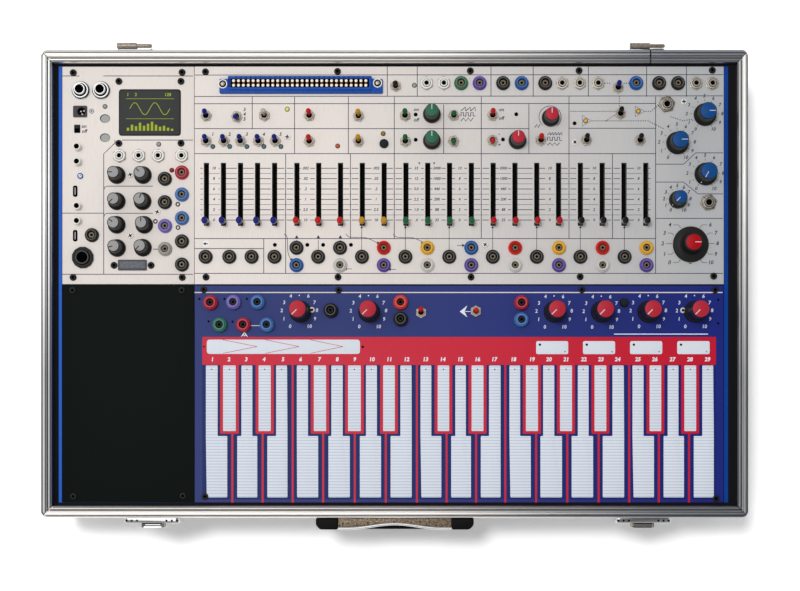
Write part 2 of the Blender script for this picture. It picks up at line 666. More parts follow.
FADERS = {
    "sequence": ("navy", [205.8, 222.8, 239.9, 257.0, 273.9]), "envelope": ("scarlet", [296.3, 318, 339.9]),
    "pulse": ("mustard", [361.5, 383.3]), "modulation": ("leaf", [405.2, 426.8, 448.6, 470]),
    "tone": ("wine", [492.1, 514.1, 535.7, 557.7]), "level": ("jet", [579.3, 601.2, 622.9, 645]),
}
FADER_COLUMNS = [x for _, row in FADERS.values() for x in row]
FADER_NODES = [(f"fader_{name}_{k + 1}", colour) for name, (colour, row) in FADERS.items()
               for k in range(len(row))]
SLOT_TOP, SLOT_BOTTOM = 163.5, 225.4
IO_BANANAS = {
    "crimson": [(182.1, 172.8)], "azure": [(182.2, 194.8), (182.2, 218.4)],
    "black": [(182.2, 241.6), (182.2, 264.8), (165.1, 179.1), (165.1, 202.5), (92.2, 235.4)],
    "lilac": [(165.3, 226.2)], "grey": [(165.3, 249.2)],
}
PAIR_X = [296.6, 340.1, 383.8, 427.3, 471.2, 515.1, 558.8, 602.4, 646.3]
PAIR_TOP = ["black", "black", "red", "yellow", "blue", "red", "yellow", "red", "yellow"]
PAIR_LOW = ["blue", "pearl", "violet", "white", "violet", "white", "violet", "white", "violet"]
SOUND_BANANAS = [(colour, x, 83.5) for colour, x in (
    ("green", 461.1), ("violet", 479.6), ("black", 503), ("blue", 521.6), ("black", 545.1), ("blue", 636),
    ("black", 658.9), ("black", 677.8))]
SOUND_BANANAS += [("black", x, 257) for x in (205.8, 229.5, 251.7, 274.6, 318.2, 362, 405.4, 449.2, 492.7,
                                              536.7, 580.3, 624.4)]
SOUND_BANANAS += [(colour, x, 248) for colour, x in zip(PAIR_TOP, PAIR_X)]
SOUND_BANANAS += [(colour, x, 265.4) for colour, x in zip(PAIR_LOW, PAIR_X)]
KEY_BANANAS = [("crimson", 211, 303), ("lilac", 233.9, 302.6), ("azure", 258, 302.6), ("jade", 220.2, 325.1),
               ("crimson", 243.7, 325.1), ("azure", 267.3, 325.1), ("black", 330.9, 310.7),
               ("orange", 400.6, 302.7), ("black", 400.6, 319.3), ("crimson", 521.2, 303.1),
               ("azure", 521.2, 320)]
SOUND_MINIS = [(x, 83.5) for x in (426.6, 443.9, 562, 579.6, 598, 696, 712.2)]
IO_MINIS = [(x, 156) for x in (119.7, 139.1, 158.5, 181.9)]
TOGGLES = [("jet", 395.6, 85.3, 0), ("navy", 206.3, 115.2, 1), ("navy", 236.9, 116, -1),
           ("putty", 264.5, 115, 1), ("scarlet", 309.4, 115, 1), ("mustard", 358.6, 115.5, 1),
           ("leaf", 405.1, 115, 1), ("leaf", 453.8, 114.7, 0), ("scarlet", 492.7, 114.7, 1),
           ("jet", 620.2, 113, 1), ("scarlet", 309.4, 140.7, 1), ("mustard", 358.6, 140.7, 1),
           ("leaf", 405.4, 140.7, 1), ("leaf", 453.6, 140.4, -1), ("scarlet", 492.4, 139.6, -1),
           ("scarlet", 540.8, 139.6, 1), ("jet", 586.3, 139.6, 1), ("jet", 639.8, 139.6, 1)]
TOGGLES += [("navy", x, 140.5, 1) for x in (206.3, 224.2, 240.7, 258.5, 275.4)]
MOVING_TOGGLES = {"switch_preamp_gain": ("navy", 1), "switch_pattern": ("scarlet", 1),
                  "switch_octave": ("scarlet", 0)}
PANEL_SCREWS = [(73.4, 73), (182.2, 72.6), (119, 81.6), (181.1, 81.6), (119, 143.6), (181.1, 143.4),
                (73.3, 277.6), (182.4, 277.6), (114.2, 265.5), (151.2, 265.5), (205.6, 72.1), (337.6, 71.7),
                (470.3, 71.1), (579, 70.9), (712.2, 70.5), (206.1, 277.3), (338.1, 277.3), (471, 277.3),
                (580.1, 276.9), (713.6, 276.3), (203.9, 289.8), (338.7, 290.3), (581.8, 289.8), (715.1, 290),
                (205.2, 496.6), (715.9, 498.6), (72.7, 290.4), (181.9, 290.4), (73.5, 496.4), (183, 496)]
CROSS_SCREWS = [(130.5, 174.9), (157.5, 212.2), (130.5, 235.8), (287.3, 137.2), (574.8, 142.4),
                (683.8, 101.9), (485.1, 244.8)]
IO_KNOBS = [(116.9, 175.3, 90), (143.1, 175.3, 45), (116.9, 201.5, 135), (142.8, 201.5, -22),
            (116.9, 225, 50), (144.4, 225, 0), (117.2, 248.2, 108), (143.1, 247.9, 135)]
SOUND_KNOBS = [("modulation_range", "small", 0, "fern"), ("modulation_fine", "small", 0, "fern"),
               ("carrier_range", "small", 0, "ruby"), ("carrier_fine", "small", 0, "ruby"),
               ("channel_1", "medium", -90, "cobalt"), ("channel_2", "medium", -90, "cobalt"),
               ("reverb", "medium", 150, "cobalt"), ("monitor", "small", 135, "cobalt"),
               ("main_volume", "volume", -90, "wine")]
KEY_KNOBS = {"slide_time": (299.4, 311.2), "pattern_rate": (368.5, 311.5), "preset_1": (554.1, 311.8),
             "preset_2": (601.3, 312), "preset_3": (648.2, 311.4), "preset_4": (694.5, 311.4)}
NATURALS = [(206, 217.8, 206.9, 227.4), (241.5, 252.5, 237.3, 257.4), (276.2, 287.2, 267.4, 287.6),
            (296.9, 308.1, 297.2, 318.3), (331.4, 342.8, 328.5, 349.9), (366, 377, 359.9, 381.1),
            (400.4, 411.6, 390.6, 411.8), (420.5, 431.4, 421.4, 441.4), (455.3, 465.9, 451.2, 471),
            (489, 500.6, 480.8, 500.6), (509.4, 520.2, 510.4, 530.8), (543.1, 554.3, 540.4, 562),
            (577.8, 588.6, 571.6, 593.1), (612.4, 623.7, 602.7, 624.1), (632.4, 643.5, 633.5, 653.9),
            (667.6, 678.4, 663.5, 683.9), (702.2, 713.1, 693.7, 713.7)]
SHARPS = [(223.2, 235.9), (258.7, 270.9), (313.9, 326.2), (348.1, 360.9), (383.2, 394.9), (437.7, 449.3),
          (471.6, 483.5), (525.9, 538), (560, 572), (594.5, 606.3), (649.6, 661.2), (684.3, 696.1)]
KEY_NUMBER_X = [212.5, 229.1, 246.4, 264.2, 283.2, 300.7, 319.5, 337.3, 354.8, 372, 389.4, 406.7, 425.6,
                442.8, 460.3, 477.5, 494.3, 513.5, 532.1, 549, 566.3, 583.9, 601, 617.7, 638, 654.9, 672.5,
                690, 707.6]
KEY_DIVIDERS = [232.4, 262.7, 292.7, 323.2, 354.8, 385.8, 416.9, 446.6, 476.1, 505.3, 536.1, 567.3, 598.6,
                629.2, 658.8, 689]
PRESET_PADS = [(536.1, 568.2), (582.9, 615.1), (630, 662.2), (677.1, 709.6)]
KNOB_SIZES = {"input": (7.2, 5.3, 0.7, 13.6, 0.8), "small": (7.3, 5.8, 0.6, 14.6, 0.87),
              "medium": (9.3, 7.3, 0.5, 14.6, 0.87), "volume": (14.6, 7.8, 0.55, 14.6, 0.8),
              "tall": (8.9, 7.3, 0.7, 25.6, 0.9)}


# Things that are used many times

def knob(kind, place, turn, cap_finish, line_finish):
    """Layers of a knob: a skirt, a fluted grip, a flat coloured cap and the pointer line across them.

    The radius of the grip falls evenly from its foot to its top and dips at each flute."""
    skirt, body, line, height, share = KNOB_SIZES[kind]
    cap, half = body * share, line / 2
    base = turned([(skirt, 0.35), (skirt, 1.0), (skirt - 0.35, 1.7), (body + 0.9, 2.9), (body + 0.25, 3.4)],
                  44)
    grip = turned([(body + 0.2, 3.0), (body, 4.6), (body - 0.25, height - 1.3), (body - 0.4, height - 0.5),
                   (cap + 0.1, height - 0.1), (cap, height - 0.1)], 96, 0, 24, 0.38, (3.2, height - 0.6))
    top = turned([(cap, height - 0.4), (cap, height), (cap - 0.3, height + 0.12)], 40)
    marks = [block(-half, half, body * 0.12, cap * 0.96, height + 0.08, height + 0.2, 0.04, 0.1)]
    if kind not in ("volume", "tall"):
        marks.append(block(-half, half, body + 0.45, skirt - 0.5, 1.6, 3.25, 0.05, 0.1))
    layers = ((merged([base, grip]), "black plastic"), (top, cap_finish), (merged(marks), line_finish))
    return [(moved(part, place, math.radians(turn)), surface) for part, surface in layers]


def toggle_seat():
    """Layers of the hexagonal nut of a toggle switch, the bushing inside it and its bore."""
    return [(turned([(4.75, SUNK), (4.75, 1.2), (4.2, 1.6)], 6, math.pi / 6), "nickel plating"),
            (turned([(3.5, 1.4), (3.5, 2.3), (3.2, 2.7), (2.4, 2.75), (2.1, 1.9)], 20), "bushing steel"),
            (turned([(2.08, 1.7), (2.08, 1.98)], 16), "hole black")]


def toggle_lever(lean):
    """A bat-shaped lever and its coloured sleeve, leaning along Y by an angle in radians."""
    bat = turned([(0.85, 1.2), (0.95, 2.6), (1.1, 3.4)], 14)
    sleeve = turned([(1.15, 2.6), (1.35, 4.6), (1.5, 6.4), (1.95, 7.8), (2.05, 9.4), (1.85, 10.4),
                     (1.4, 10.9), (0.7, 11.1)], 18)
    return moved(bat, tilt=-lean), moved(sleeve, tilt=-lean)


def rivet_head():
    """A low round head that points up."""
    return turned([(1.9, 0), (1.9, 0.3), (1.4, 0.8), (0.5, 1.0)], 16)


def facing(outline, back, front, edge):
    """A slab that stands upright: its outline is X and Z, and it comes forward along -Y."""
    flat = slab(outline, 0.0, back - front, edge)
    return outward(Part(np.column_stack([flat.points[:, 0], back - flat.points[:, 2], flat.points[:, 1]]),
                        flat.faces))


# Case

CASE_HALF = (287.0, 190.0)
RIM_CORNER, RIM_WIDTH = 5.0, 8.7
BACK_BEAD, FRONT_BEAD = 1.65, 0.9
RIDGES = [(0.62, 84.3), (0.95, 84.3), (1.1, 85.2), (1.5, 85.85), (2.3, 86), (3.2, 85.8), (3.5, 85.4),
          (3.65, 85.0), (3.8, 85.4), (4.2, 85.75), (4.75, 85.4), (4.95, 84), (5.6, 84), (5.8, 85.3),
          (6.1, 85.9), (6.9, 86), (7.35, 85.7), (7.5, 84.6), (7.85, 84.6), (8, 85.4), (8.25, 85.85),
          (8.5, 85.6), (8.7, 85)]
GROOVES = [(0.78, 0.16, 84.3), (5.28, 0.32, 84.0), (7.68, 0.17, 84.6)]


def stacked(levels):
    """Rounded outlines of the case by distance inwards, corner radius and height, joined one to the next."""
    rings = []
    for distance, radius, height in levels:
        x, y = CASE_HALF[0] - distance, CASE_HALF[1] - distance
        rings.append(level(rounded(box_outline(-x, x, -y, y), radius, 5) + [0, CASE_SHIFT], height))
    return loft(rings)


def rim_section(bead):
    """Section of a bar of the rim in distance from its outer side and height: skirt, bead, ridges, inner
    edge."""
    outer = [(0, 56), (0, 84.7), (0.15 + bead * 0.2, 85.3), (0.3 + bead * 0.6, 85.7), (0.45 + bead, 85.1)]
    ridges = [(distance + bead, height) for distance, height in RIDGES]
    width = RIM_WIDTH + bead
    return np.array(outer + ridges + [(width, 77), (width - 1.2, 77), (width - 1.2, 83), (1.2, 83),
                                      (1.2, 56)])


def rim_bar(half_length, half_depth, bead, leads, seam=None):
    """One side of the rim from mitre to mitre, its outer corners bent round an arc.

    Each line of the section turns about the corner's centre until it meets the diagonal, and stops
    a little before it so that the joint shows. A lead shifts the diagonal inwards at its end."""
    distance, height = rim_section(bead).T
    back, radius = np.maximum(RIM_CORNER, distance), np.maximum(RIM_CORNER - distance, 0)
    bends = np.radians([45, 56, 67, 78, 90])
    rings = []
    for side, lead in zip((-1, 1), leads):
        along = np.maximum(distance + lead, 0)
        end, bent = np.maximum(RIM_CORNER, along), np.maximum(RIM_CORNER - along, 0)
        for bend in bends[::-side]:
            joint = (0.3 + 0.075 * along) * (bend < 0.8)
            x = side * (half_length - end + bent * math.cos(bend) - joint)
            rings.append(np.column_stack([x, half_depth - back + radius * math.sin(bend), height]))
    if seam is None:
        return loft(rings)
    half = len(bends)
    cuts = [np.column_stack([np.full(len(distance), seam + gap), half_depth - distance, height])
            for gap in (-0.55, 0.55)]
    return merged([loft(rings[:half] + cuts[:1]), loft(cuts[1:] + rings[half:])])


@step("shell", "Case Shell")
def build_shell(settings):
    """Wall of the case with its floor, the band round its foot and rows of rivets."""
    wall = stacked([(2.4, 4, 0.0), (1.3, 4.7, 0.5), (1.3, 4.7, 56.5), (1.7, 4.4, 82.4), (7.2, 1, 82.4),
                    (7.5, 1, 5.0)])
    band = stacked([(1.0, 5, 0.1), (0.2, 5.8, 0.5), (0, 6, 1.0), (0, 6, 15.4), (0.3, 5.7, 15.8),
                    (1.0, 5, 16.0)])
    groove = stacked([(0.9, 5.1, 16.0), (0.7, 5.3, 16.2), (0.9, 5.1, 17.4), (1.3, 4.7, 17.6)])
    rivet = turned([(2.6, -0.2), (2.6, 0.15), (2.0, 0.65), (1.0, 0.95)], 16)
    sideways = Part(rivet.points[:, [2, 0, 1]], rivet.faces)
    endways = Part(rivet.points[:, [1, 2, 0]], rivet.faces)
    xs = np.arange(-5, 6) * 52.0
    ys = np.arange(-3, 4) * 52.0 + CASE_SHIFT
    clear = [x for x in xs if abs(abs(x) - 208) > 30 and abs(x) > 60]
    half_x, half_y = CASE_HALF[0] - 0.6, CASE_HALF[1] - 0.6
    rivets = []
    for z in (8.2, 68.0):
        rivets += [many(endways, [(x, CASE_SHIFT + half_y, z) for x in xs]),
                   many(moved(endways, turn=math.pi), [(x, CASE_SHIFT - half_y, z) for x in clear]),
                   many(sideways, [(half_x, y, z) for y in ys]),
                   many(moved(sideways, turn=math.pi), [(-half_x, y, z) for y in ys])]
    piece("shell_wall", CASE_BODY, [(wall, "black laminate")], ["case_shell"])
    piece("shell_band", CASE_BODY, [(band, "band aluminium"), (groove, "dark lining")])
    piece("shell_rivets", CASE_BODY, [(rivets, "nickel plating")])


@step("rim", "Rim")
def build_rim(settings):
    """Four ridged aluminium bars that meet in mitres, with a seam in the back one, and dark strips inside."""
    x, y = CASE_HALF
    lift = (0, CASE_SHIFT, 0)
    back = moved(rim_bar(x, y, BACK_BEAD, (-BACK_BEAD, -BACK_BEAD), settings.seam_place / MM), lift)
    front = moved(rim_bar(x, y, FRONT_BEAD, (-FRONT_BEAD, -FRONT_BEAD)), lift, math.pi)
    sides = [moved(rim_bar(y, x, 0, (FRONT_BEAD, BACK_BEAD)), lift, math.pi / 2),
             moved(rim_bar(y, x, 0, (BACK_BEAD, FRONT_BEAD)), lift, -math.pi / 2)]
    piece("rim_bars", CASE_BODY, [(back, "aluminium along X"), (front, "aluminium along X"),
                                  (sides, "aluminium along Y")], ["rim_frame"], 25)
    strips = [block(x0, x1, CASE_SHIFT + y0, CASE_SHIFT + y1, low, low + thick, 0.1, corner)
              for x0, x1, y0, y1, low, thick, corner in ((271.9, 278.6, -180.6, 180.2, 79.45, 0.5, 0.5),
                                                         (-278.6, -274.7, -180.6, 180.2, 78.2, 0.6, 0.5),
                                                         (-278.6, 278.6, 177.9, 180.2, 79.4, 0.5, 0.3),
                                                         (-278.6, 278.6, -180.8, -177.95, 79.4, 0.5, 0.3))]
    bed = 3.2
    strips += [block(bed - x, x - bed, CASE_SHIFT + side * (y - bed) - bed,
                     CASE_SHIFT + side * (y - bed) + bed, 82.72, 82.95, 0.02, 2) for side in (-1, 1)]
    strips += [block(side * (x - bed) - bed, side * (x - bed) + bed, CASE_SHIFT - y + 7, CASE_SHIFT + y - 7,
                     82.72, 82.95, 0.02, 2) for side in (-1, 1)]
    piece("lining_strip", CASE_BODY, [(strips, "dark lining")])
    floors = []
    for distance, half, low in GROOVES:
        for side, bead in ((1, BACK_BEAD), (-1, FRONT_BEAD)):
            middle, end = CASE_SHIFT + side * (y - bead - distance), x - distance - 1.5
            floors.append(block(-end, end, middle - half, middle + half, low - 0.1, low + 0.12, 0.02, 0.1))
            middle, end = side * (x - distance), y - distance - 3
            floors.append(block(middle - half, middle + half, CASE_SHIFT - end, CASE_SHIFT + end, low - 0.1,
                                low + 0.12, 0.02, 0.1))
    for across in (-1, 1):
        for up in (-1, 1):
            far_x, far_y = across * (x - 0.4), CASE_SHIFT + up * (y - 0.4)
            floors.append(block(*sorted((far_x - across * 8, far_x)), *sorted((far_y - up * 8, far_y)), 58,
                                83.9, 0.3, 4.4))
    piece("rim_grooves", CASE_BODY, [(floors, "groove shade")])


@step("tray", "Tray")
def build_tray(settings):
    """Finish of the tray: bright blue enamel with a faint orange peel."""
    dress("module_tray", "blue enamel")


# Panels

def slot_boxes():
    """Openings of the faders in millimetres, wide enough for the stems at both ends of their travel."""
    low, high = at(0, SLOT_BOTTOM)[1], at(0, SLOT_TOP)[1]
    middles = [centre_of(node)[0] for node, _ in FADER_NODES]
    return [(x - 1.65, x + 1.65, low, high) for x in middles]


@step("plates", "Panel Plates")
def build_plates(settings):
    """The four panel plates, the lips of the fader slots and the edges between the plates."""
    finish("panel silver", settings.silver)
    finish("panel black", settings.black)
    finish("panel blue", settings.blue)
    slots = slot_boxes()
    x, y = centre_of("button_pulse")
    tile = (x - 3.9, x + 3.9, y - 3.9, y + 3.9)
    sound = [plate(sides_of("sound_panel")[:4], slots + [tile]), pierced(tile, (x, y))]
    lips = []
    for a, b, c, d in slots:
        for sides in ((a - 0.45, a + 0.02, c - 0.4, d + 0.4), (b - 0.02, b + 0.45, c - 0.4, d + 0.4),
                      (a + 0.02, b - 0.02, c - 0.45, c + 0.02), (a + 0.02, b - 0.02, d - 0.02, d + 0.45)):
            lips.append(block(*sides, 79.4, 80.12, 0.05, 0.1))
        lips.append(block(a - 0.3, b + 0.3, c - 0.3, d + 0.3, 73.3, 73.6, 0.05, 0.1))
    piece("sound_plate", CASE_BODY, [(sound, "panel silver"), (lips, "slot lip")], ["sound_panel"])
    for name, kind in (("io", "silver"), ("blank", "black")):
        sheet = block(*sides_of(f"{name}_panel")[:4], UNDERSIDE, PANEL, 0.25, 0.6)
        piece(f"{name}_plate", CASE_BODY, [(sheet, f"panel {kind}")], [f"{name}_panel"])
    x0, x1, y0, y1 = sides_of("keyboard_panel")[:4]
    sheet = pierced((x0, x1, y0, y1), centre_of("button_reset"), 0.2)
    piece("keyboard_plate", CASE_BODY, [(sheet, "panel blue")], ["keyboard_panel"])
    piece("keyboard_edge", CASE_BODY, [
        (block(x0 + 6, x1 - 0.4, y0 - 0.7, y0 - 0.1, 78.4, 79.9, 0.1, 0.1), "red edge"),
        (block(x0 + 0.4, x1 - 0.4, y1 - 0.8, y1 + 0.28, 78.4, 80.05, 0.02, 0.05), "slot lip")])


@step("boards", "Circuit Boards")
def build_boards(settings):
    """Circuit boards below the panels, with the housings of the faders."""
    dress("keyboard_board", "board green")
    for node in ("io_board", "sound_board"):
        x0, x1, y0, y1 = sides_of(node)[:4]
        layers = [(block(x0 + 0.5, x1 - 0.5, y0 + 0.5, y1 - 0.5, 62.4, 64, 0.2, 1), "board green")]
        if node == "sound_board":
            cases = [block(a - 2.6, b + 2.6, c - 3, d + 3, 64, 72.9, 0.4, 0.6) for a, b, c, d in slot_boxes()]
            layers.append((cases, "fader housing"))
        piece(f"{node}_sheet", CASE_BODY, layers, [node])


# Sockets, switches and lamps that don't move

def banana_sockets(panel, colour, places, contact, lift):
    """All 4 mm sockets of one colour on one panel: a stepped collar on a foot, a dark recess, a contact
    tube."""
    collar = turned([(5.7, SUNK), (5.7, 1.5), (5.45, 1.9), (4.95, 2.0), (4.8, 2.2), (4.65, 3.25), (4.35, 3.6),
                     (3.5, 3.6), (3.15, 3.4), (2.9, 2.9), (2.85, 0.3)], 32)
    dark = turned([(2.84, 0.2), (2.84, 0.36)], 24)
    tube = turned([(2.5, 0.3), (2.5, 1.9), (2.35, 2.1), (1.3, 2.1), (1.05, 1.2)], 7, 0.4)
    middle = turned([(1.03, 0.9), (1.03, 1.5)], 14)
    collar, dark, tube, middle = [moved(part, (0, 0, lift)) for part in (collar, dark, tube, middle)]
    if lift:
        collar = merged([collar, turned([(6.0, SUNK), (6.0, lift - 0.4), (5.8, lift + 0.05)], 32)])
    planted(f"{panel}_sockets_{colour}", places, [
        (collar, f"{colour} plastic"), (dark, "hole black"),
        (ring(3.6, 4.2, lift + 3.5, lift + 3.68), f"{colour} edge"), (tube, contact),
        (middle, "hole black")])


def grouped(items):
    """Places of each colour from a list of colour, x and y."""
    groups = {}
    for colour, x, y in items:
        groups.setdefault(colour, []).append((x, y))
    return groups


@step("sockets", "Sockets")
def build_sockets(settings):
    """Sockets of 4 mm, 3.5 mm and 6.35 mm, the gate sockets and the pedal socket."""
    for panel, groups, contact, lift in (("io", IO_BANANAS, "contact brass", 0.0),
                                         ("sound", grouped(SOUND_BANANAS), "contact brass", 0.0),
                                         ("key", grouped(KEY_BANANAS), "black plastic", 3.0)):
        for colour, places in groups.items():
            banana_sockets(panel, colour, places, contact, lift)
    hexagon = turned([(5.75, SUNK), (5.75, 0.9), (5.4, 1.1)], 6, math.pi / 6)
    body = turned([(4.85, 0.9), (4.85, 1.6), (4.55, 2.0), (3.45, 2.05), (3.25, 1.1), (3.0, 1.1), (3.0, 2.5),
                   (2.75, 2.75), (2.1, 2.75), (1.8, 2.4), (1.75, 1.2)])
    dark = merged([turned([(1.74, 1.0), (1.74, 1.3)], 16), ring(3.02, 3.24, 1.0, 1.22)])
    every = spots(SOUND_MINIS + IO_MINIS)
    piece("mini_sockets", CASE_BODY, [(many(hexagon, every), "nickel plating"),
                                      (many(body, spots(SOUND_MINIS[:2] + IO_MINIS)), "frosted plating"),
                                      (many(body, spots(SOUND_MINIS[2:])), "nickel plating"),
                                      (many(dark, every), "hole black")])
    planted("side_sockets", [(77.9, y) for y in (147.4, 162.3, 206.6, 221.5)], [
        (turned([(3.75, SUNK), (3.75, 0.5), (3.5, 0.8)]), "frosted plating"),
        (turned([(3.0, 0.7), (3.0, 4.3), (2.8, 4.6), (2.2, 4.6), (2.1, 3.6)], 24), "frosted plating"),
        (turned([(2.08, 3.3), (2.08, 3.8)], 20), "hole black")])
    planted("phone_sockets", [(81.0, 90.6), (101.4, 90.6)], [
        (turned([(7.5, SUNK), (7.5, 0.5), (7.2, 0.7)], 40), "chrome plating"),
        (turned([(6.6, 0.6), (6.6, 2.4), (6.2, 2.8), (5.5, 2.8), (5.3, 2.2), (5.2, 1.0)], 40),
         "chrome plating"),
        (merged([ring(6.62, 7.1, 0.6, 0.85, 40), ring(4.45, 5.25, 0.9, 2.3, 40)]), "hole black"),
        (turned([(4.4, 0.8), (4.4, 5.6), (4.2, 5.9), (3.6, 5.9), (3.5, 5.5), (3.45, 1.2)], 36),
         "chrome plating"),
        (turned([(3.4, 1.0), (3.4, 1.4)], 24), "hole black")])
    inner = turned([(4.9, 0.5), (4.9, 1.9), (4.6, 2.2), (4.0, 2.25), (3.8, 1.2), (3.4, 1.2), (3.4, 2.6),
                    (3.1, 2.9), (2.7, 2.9), (2.5, 2.5), (2.4, 1.0)], 32)
    planted("gate_sockets", [(666.7, 104.4), (708.5, 202.7)], [
        (turned([(7.0, SUNK), (7.0, 1.0), (6.6, 1.4), (5.6, 1.5), (5.4, 0.6)], 6, 0.2), "bushing steel"),
        (ring(4.95, 5.35, 0.5, 1.45), "hole black"), (inner, "nickel plating"),
        (ring(3.42, 3.78, 1.15, 1.3), "hole black"), (turned([(2.38, 0.9), (2.38, 1.1)], 20), "hole black")])
    nut = turned([(8.9, SUNK), (8.9, 1.7), (8.4, 2.3), (6.4, 2.4), (6.2, 0.5)], 12, math.pi / 12)
    collar = turned([(6.0, 0.9), (6.0, 3.4), (5.6, 3.9), (4.6, 3.9), (4.2, 3.4), (4.1, 1.9)], 32)
    planted("pedal_socket", [(83.1, 257.8)], [
        (nut, "black plastic"), (collar, "jet plastic"), (ring(4.7, 5.3, 3.85, 3.98), "socket seat"),
        (turned([(4.0, 2.2), (4.0, 2.6)], 24), "hole black")])


@step("screws", "Screws")
def build_screws(settings):
    """Black domed panel screws with hexagonal recesses, flat bright ones with a cross cut, and two posts."""
    radius = settings.screw_radius / MM
    head = turned([(radius, SUNK), (radius, 0.7), (radius - 0.35, 1.15), (radius * 0.62, 1.35),
                   (radius * 0.5, 1.3), (radius * 0.47, 0.5)], 24)
    floor = turned([(radius * 0.46, 0.3), (radius * 0.46, 0.58)], 6)
    planted("panel_screws", PANEL_SCREWS, [(head, "black plastic"), (floor, "hole black")],
            np.arange(len(PANEL_SCREWS)) * 1.7)
    head = turned([(2.5, SUNK), (2.5, 0.55), (2.2, 0.85), (0.4, 0.95)], 24)
    cross = [block(-1.6, 1.6, -0.45, 0.45, 0.6, 1.03, 0.02, 0.1),
             block(-0.45, 0.45, -1.6, 1.6, 0.6, 1.02, 0.02, 0.1)]
    planted("cross_screws", CROSS_SCREWS, [(head, "bright screw"), (merged(cross), "hole black")],
            0.3 + np.arange(len(CROSS_SCREWS)) * 0.9)
    planted("keyboard_posts", [(312.1, 310), (682.7, 310.5)], [
        (turned([(2.3, SUNK), (2.3, 0.9), (2.0, 1.3), (1.3, 1.4), (1.1, 0.7)], 24), "frosted plating"),
        (turned([(1.08, 0.4), (1.08, 0.9)], 16), "black plastic")])


@step("fixed_toggles", "Fixed Toggle Switches")
def build_fixed_toggles(settings):
    """Nuts and levers of the toggle switches that are one piece with the sound panel."""
    where = spots([(x, y + 1.0) for _, x, y, _ in TOGGLES])
    layers = []
    for (part, surface), turns in zip(toggle_seat(), (np.arange(len(where)) * 0.7, None, None)):
        layers.append((many(part, where, turns), surface))
    for way in (-1, 0, 1):
        bat, sleeve = toggle_lever(way * settings.toggle_lean)
        chosen = [k for k, item in enumerate(TOGGLES) if item[3] == way]
        layers.append((many(bat, where[chosen]), "chrome plating"))
        for colour in sorted({TOGGLES[k][0] for k in chosen}):
            same = [k for k in chosen if TOGGLES[k][0] == colour]
            layers.append((many(sleeve, where[same]), f"{colour} plastic"))
    piece("fixed_toggles", CASE_BODY, layers)


@step("lamps", "Lamps")
def build_lamps(settings):
    """Small lamps in dark seats, and small round holes, rings and pads on the panels."""
    radius = 1.55
    dome = turned([(radius * math.cos(a), 0.15 + radius * 0.7 * math.sin(a))
                   for a in np.radians([0, 20, 40, 60, 80])], 18)
    seat = turned([(radius + 0.45, SUNK), (radius + 0.45, 0.12), (radius + 0.2, 0.22)], 20)
    layers = []
    for name, (_, places) in LAMPS.items():
        layers += [(many(dome, spots(places)), f"lamp {name}"), (many(seat, spots(places)), "black plastic")]
    holes = [(415.7, 114.7), (415.7, 139.9), (516.3, 114.4), (503, 139.6), (574.6, 123.5), (274.9, 245),
             (307.4, 245), (323.2, 245), (351, 245)]
    rings = [(155.5, 221.5), (177.9, 204.4), (178.1, 227.7)]
    sign = [(91.7, 111.3)]
    pads = [(199.5, 299.1), (224.5, 299.1), (247, 299), (208.7, 321.5), (232.6, 321.8), (718.2, 299.8),
            (718.2, 323.5)]
    for part, places, surface in (
            (turned([(1.6, SUNK), (1.6, 0.2), (1.3, 0.4)], 18), holes, "hole black"),
            (turned([(0.65, SUNK), (0.65, 0.2)], 16), [(204.1, 346.8)], "hole black"),
            (turned([(1.0, SUNK), (1.0, 0.2)], 16), [(362.8, 347)], "hole black"),
            (ring(1.0, 1.9, SUNK, 0.3, 20), rings, "black plastic"),
            (ring(1.5, 1.95, INK_LOW, INK_HIGH, 24), sign, "printing ink"),
            (printed(0.9, 16), sign, "lilac plastic"),
            (turned([(0.9, SUNK), (0.9, 0.15), (0.7, 0.25)], 12), pads, "hole black")):
        layers.append((many(part, spots(places)), surface))
    piece("lamps", CASE_BODY, layers)


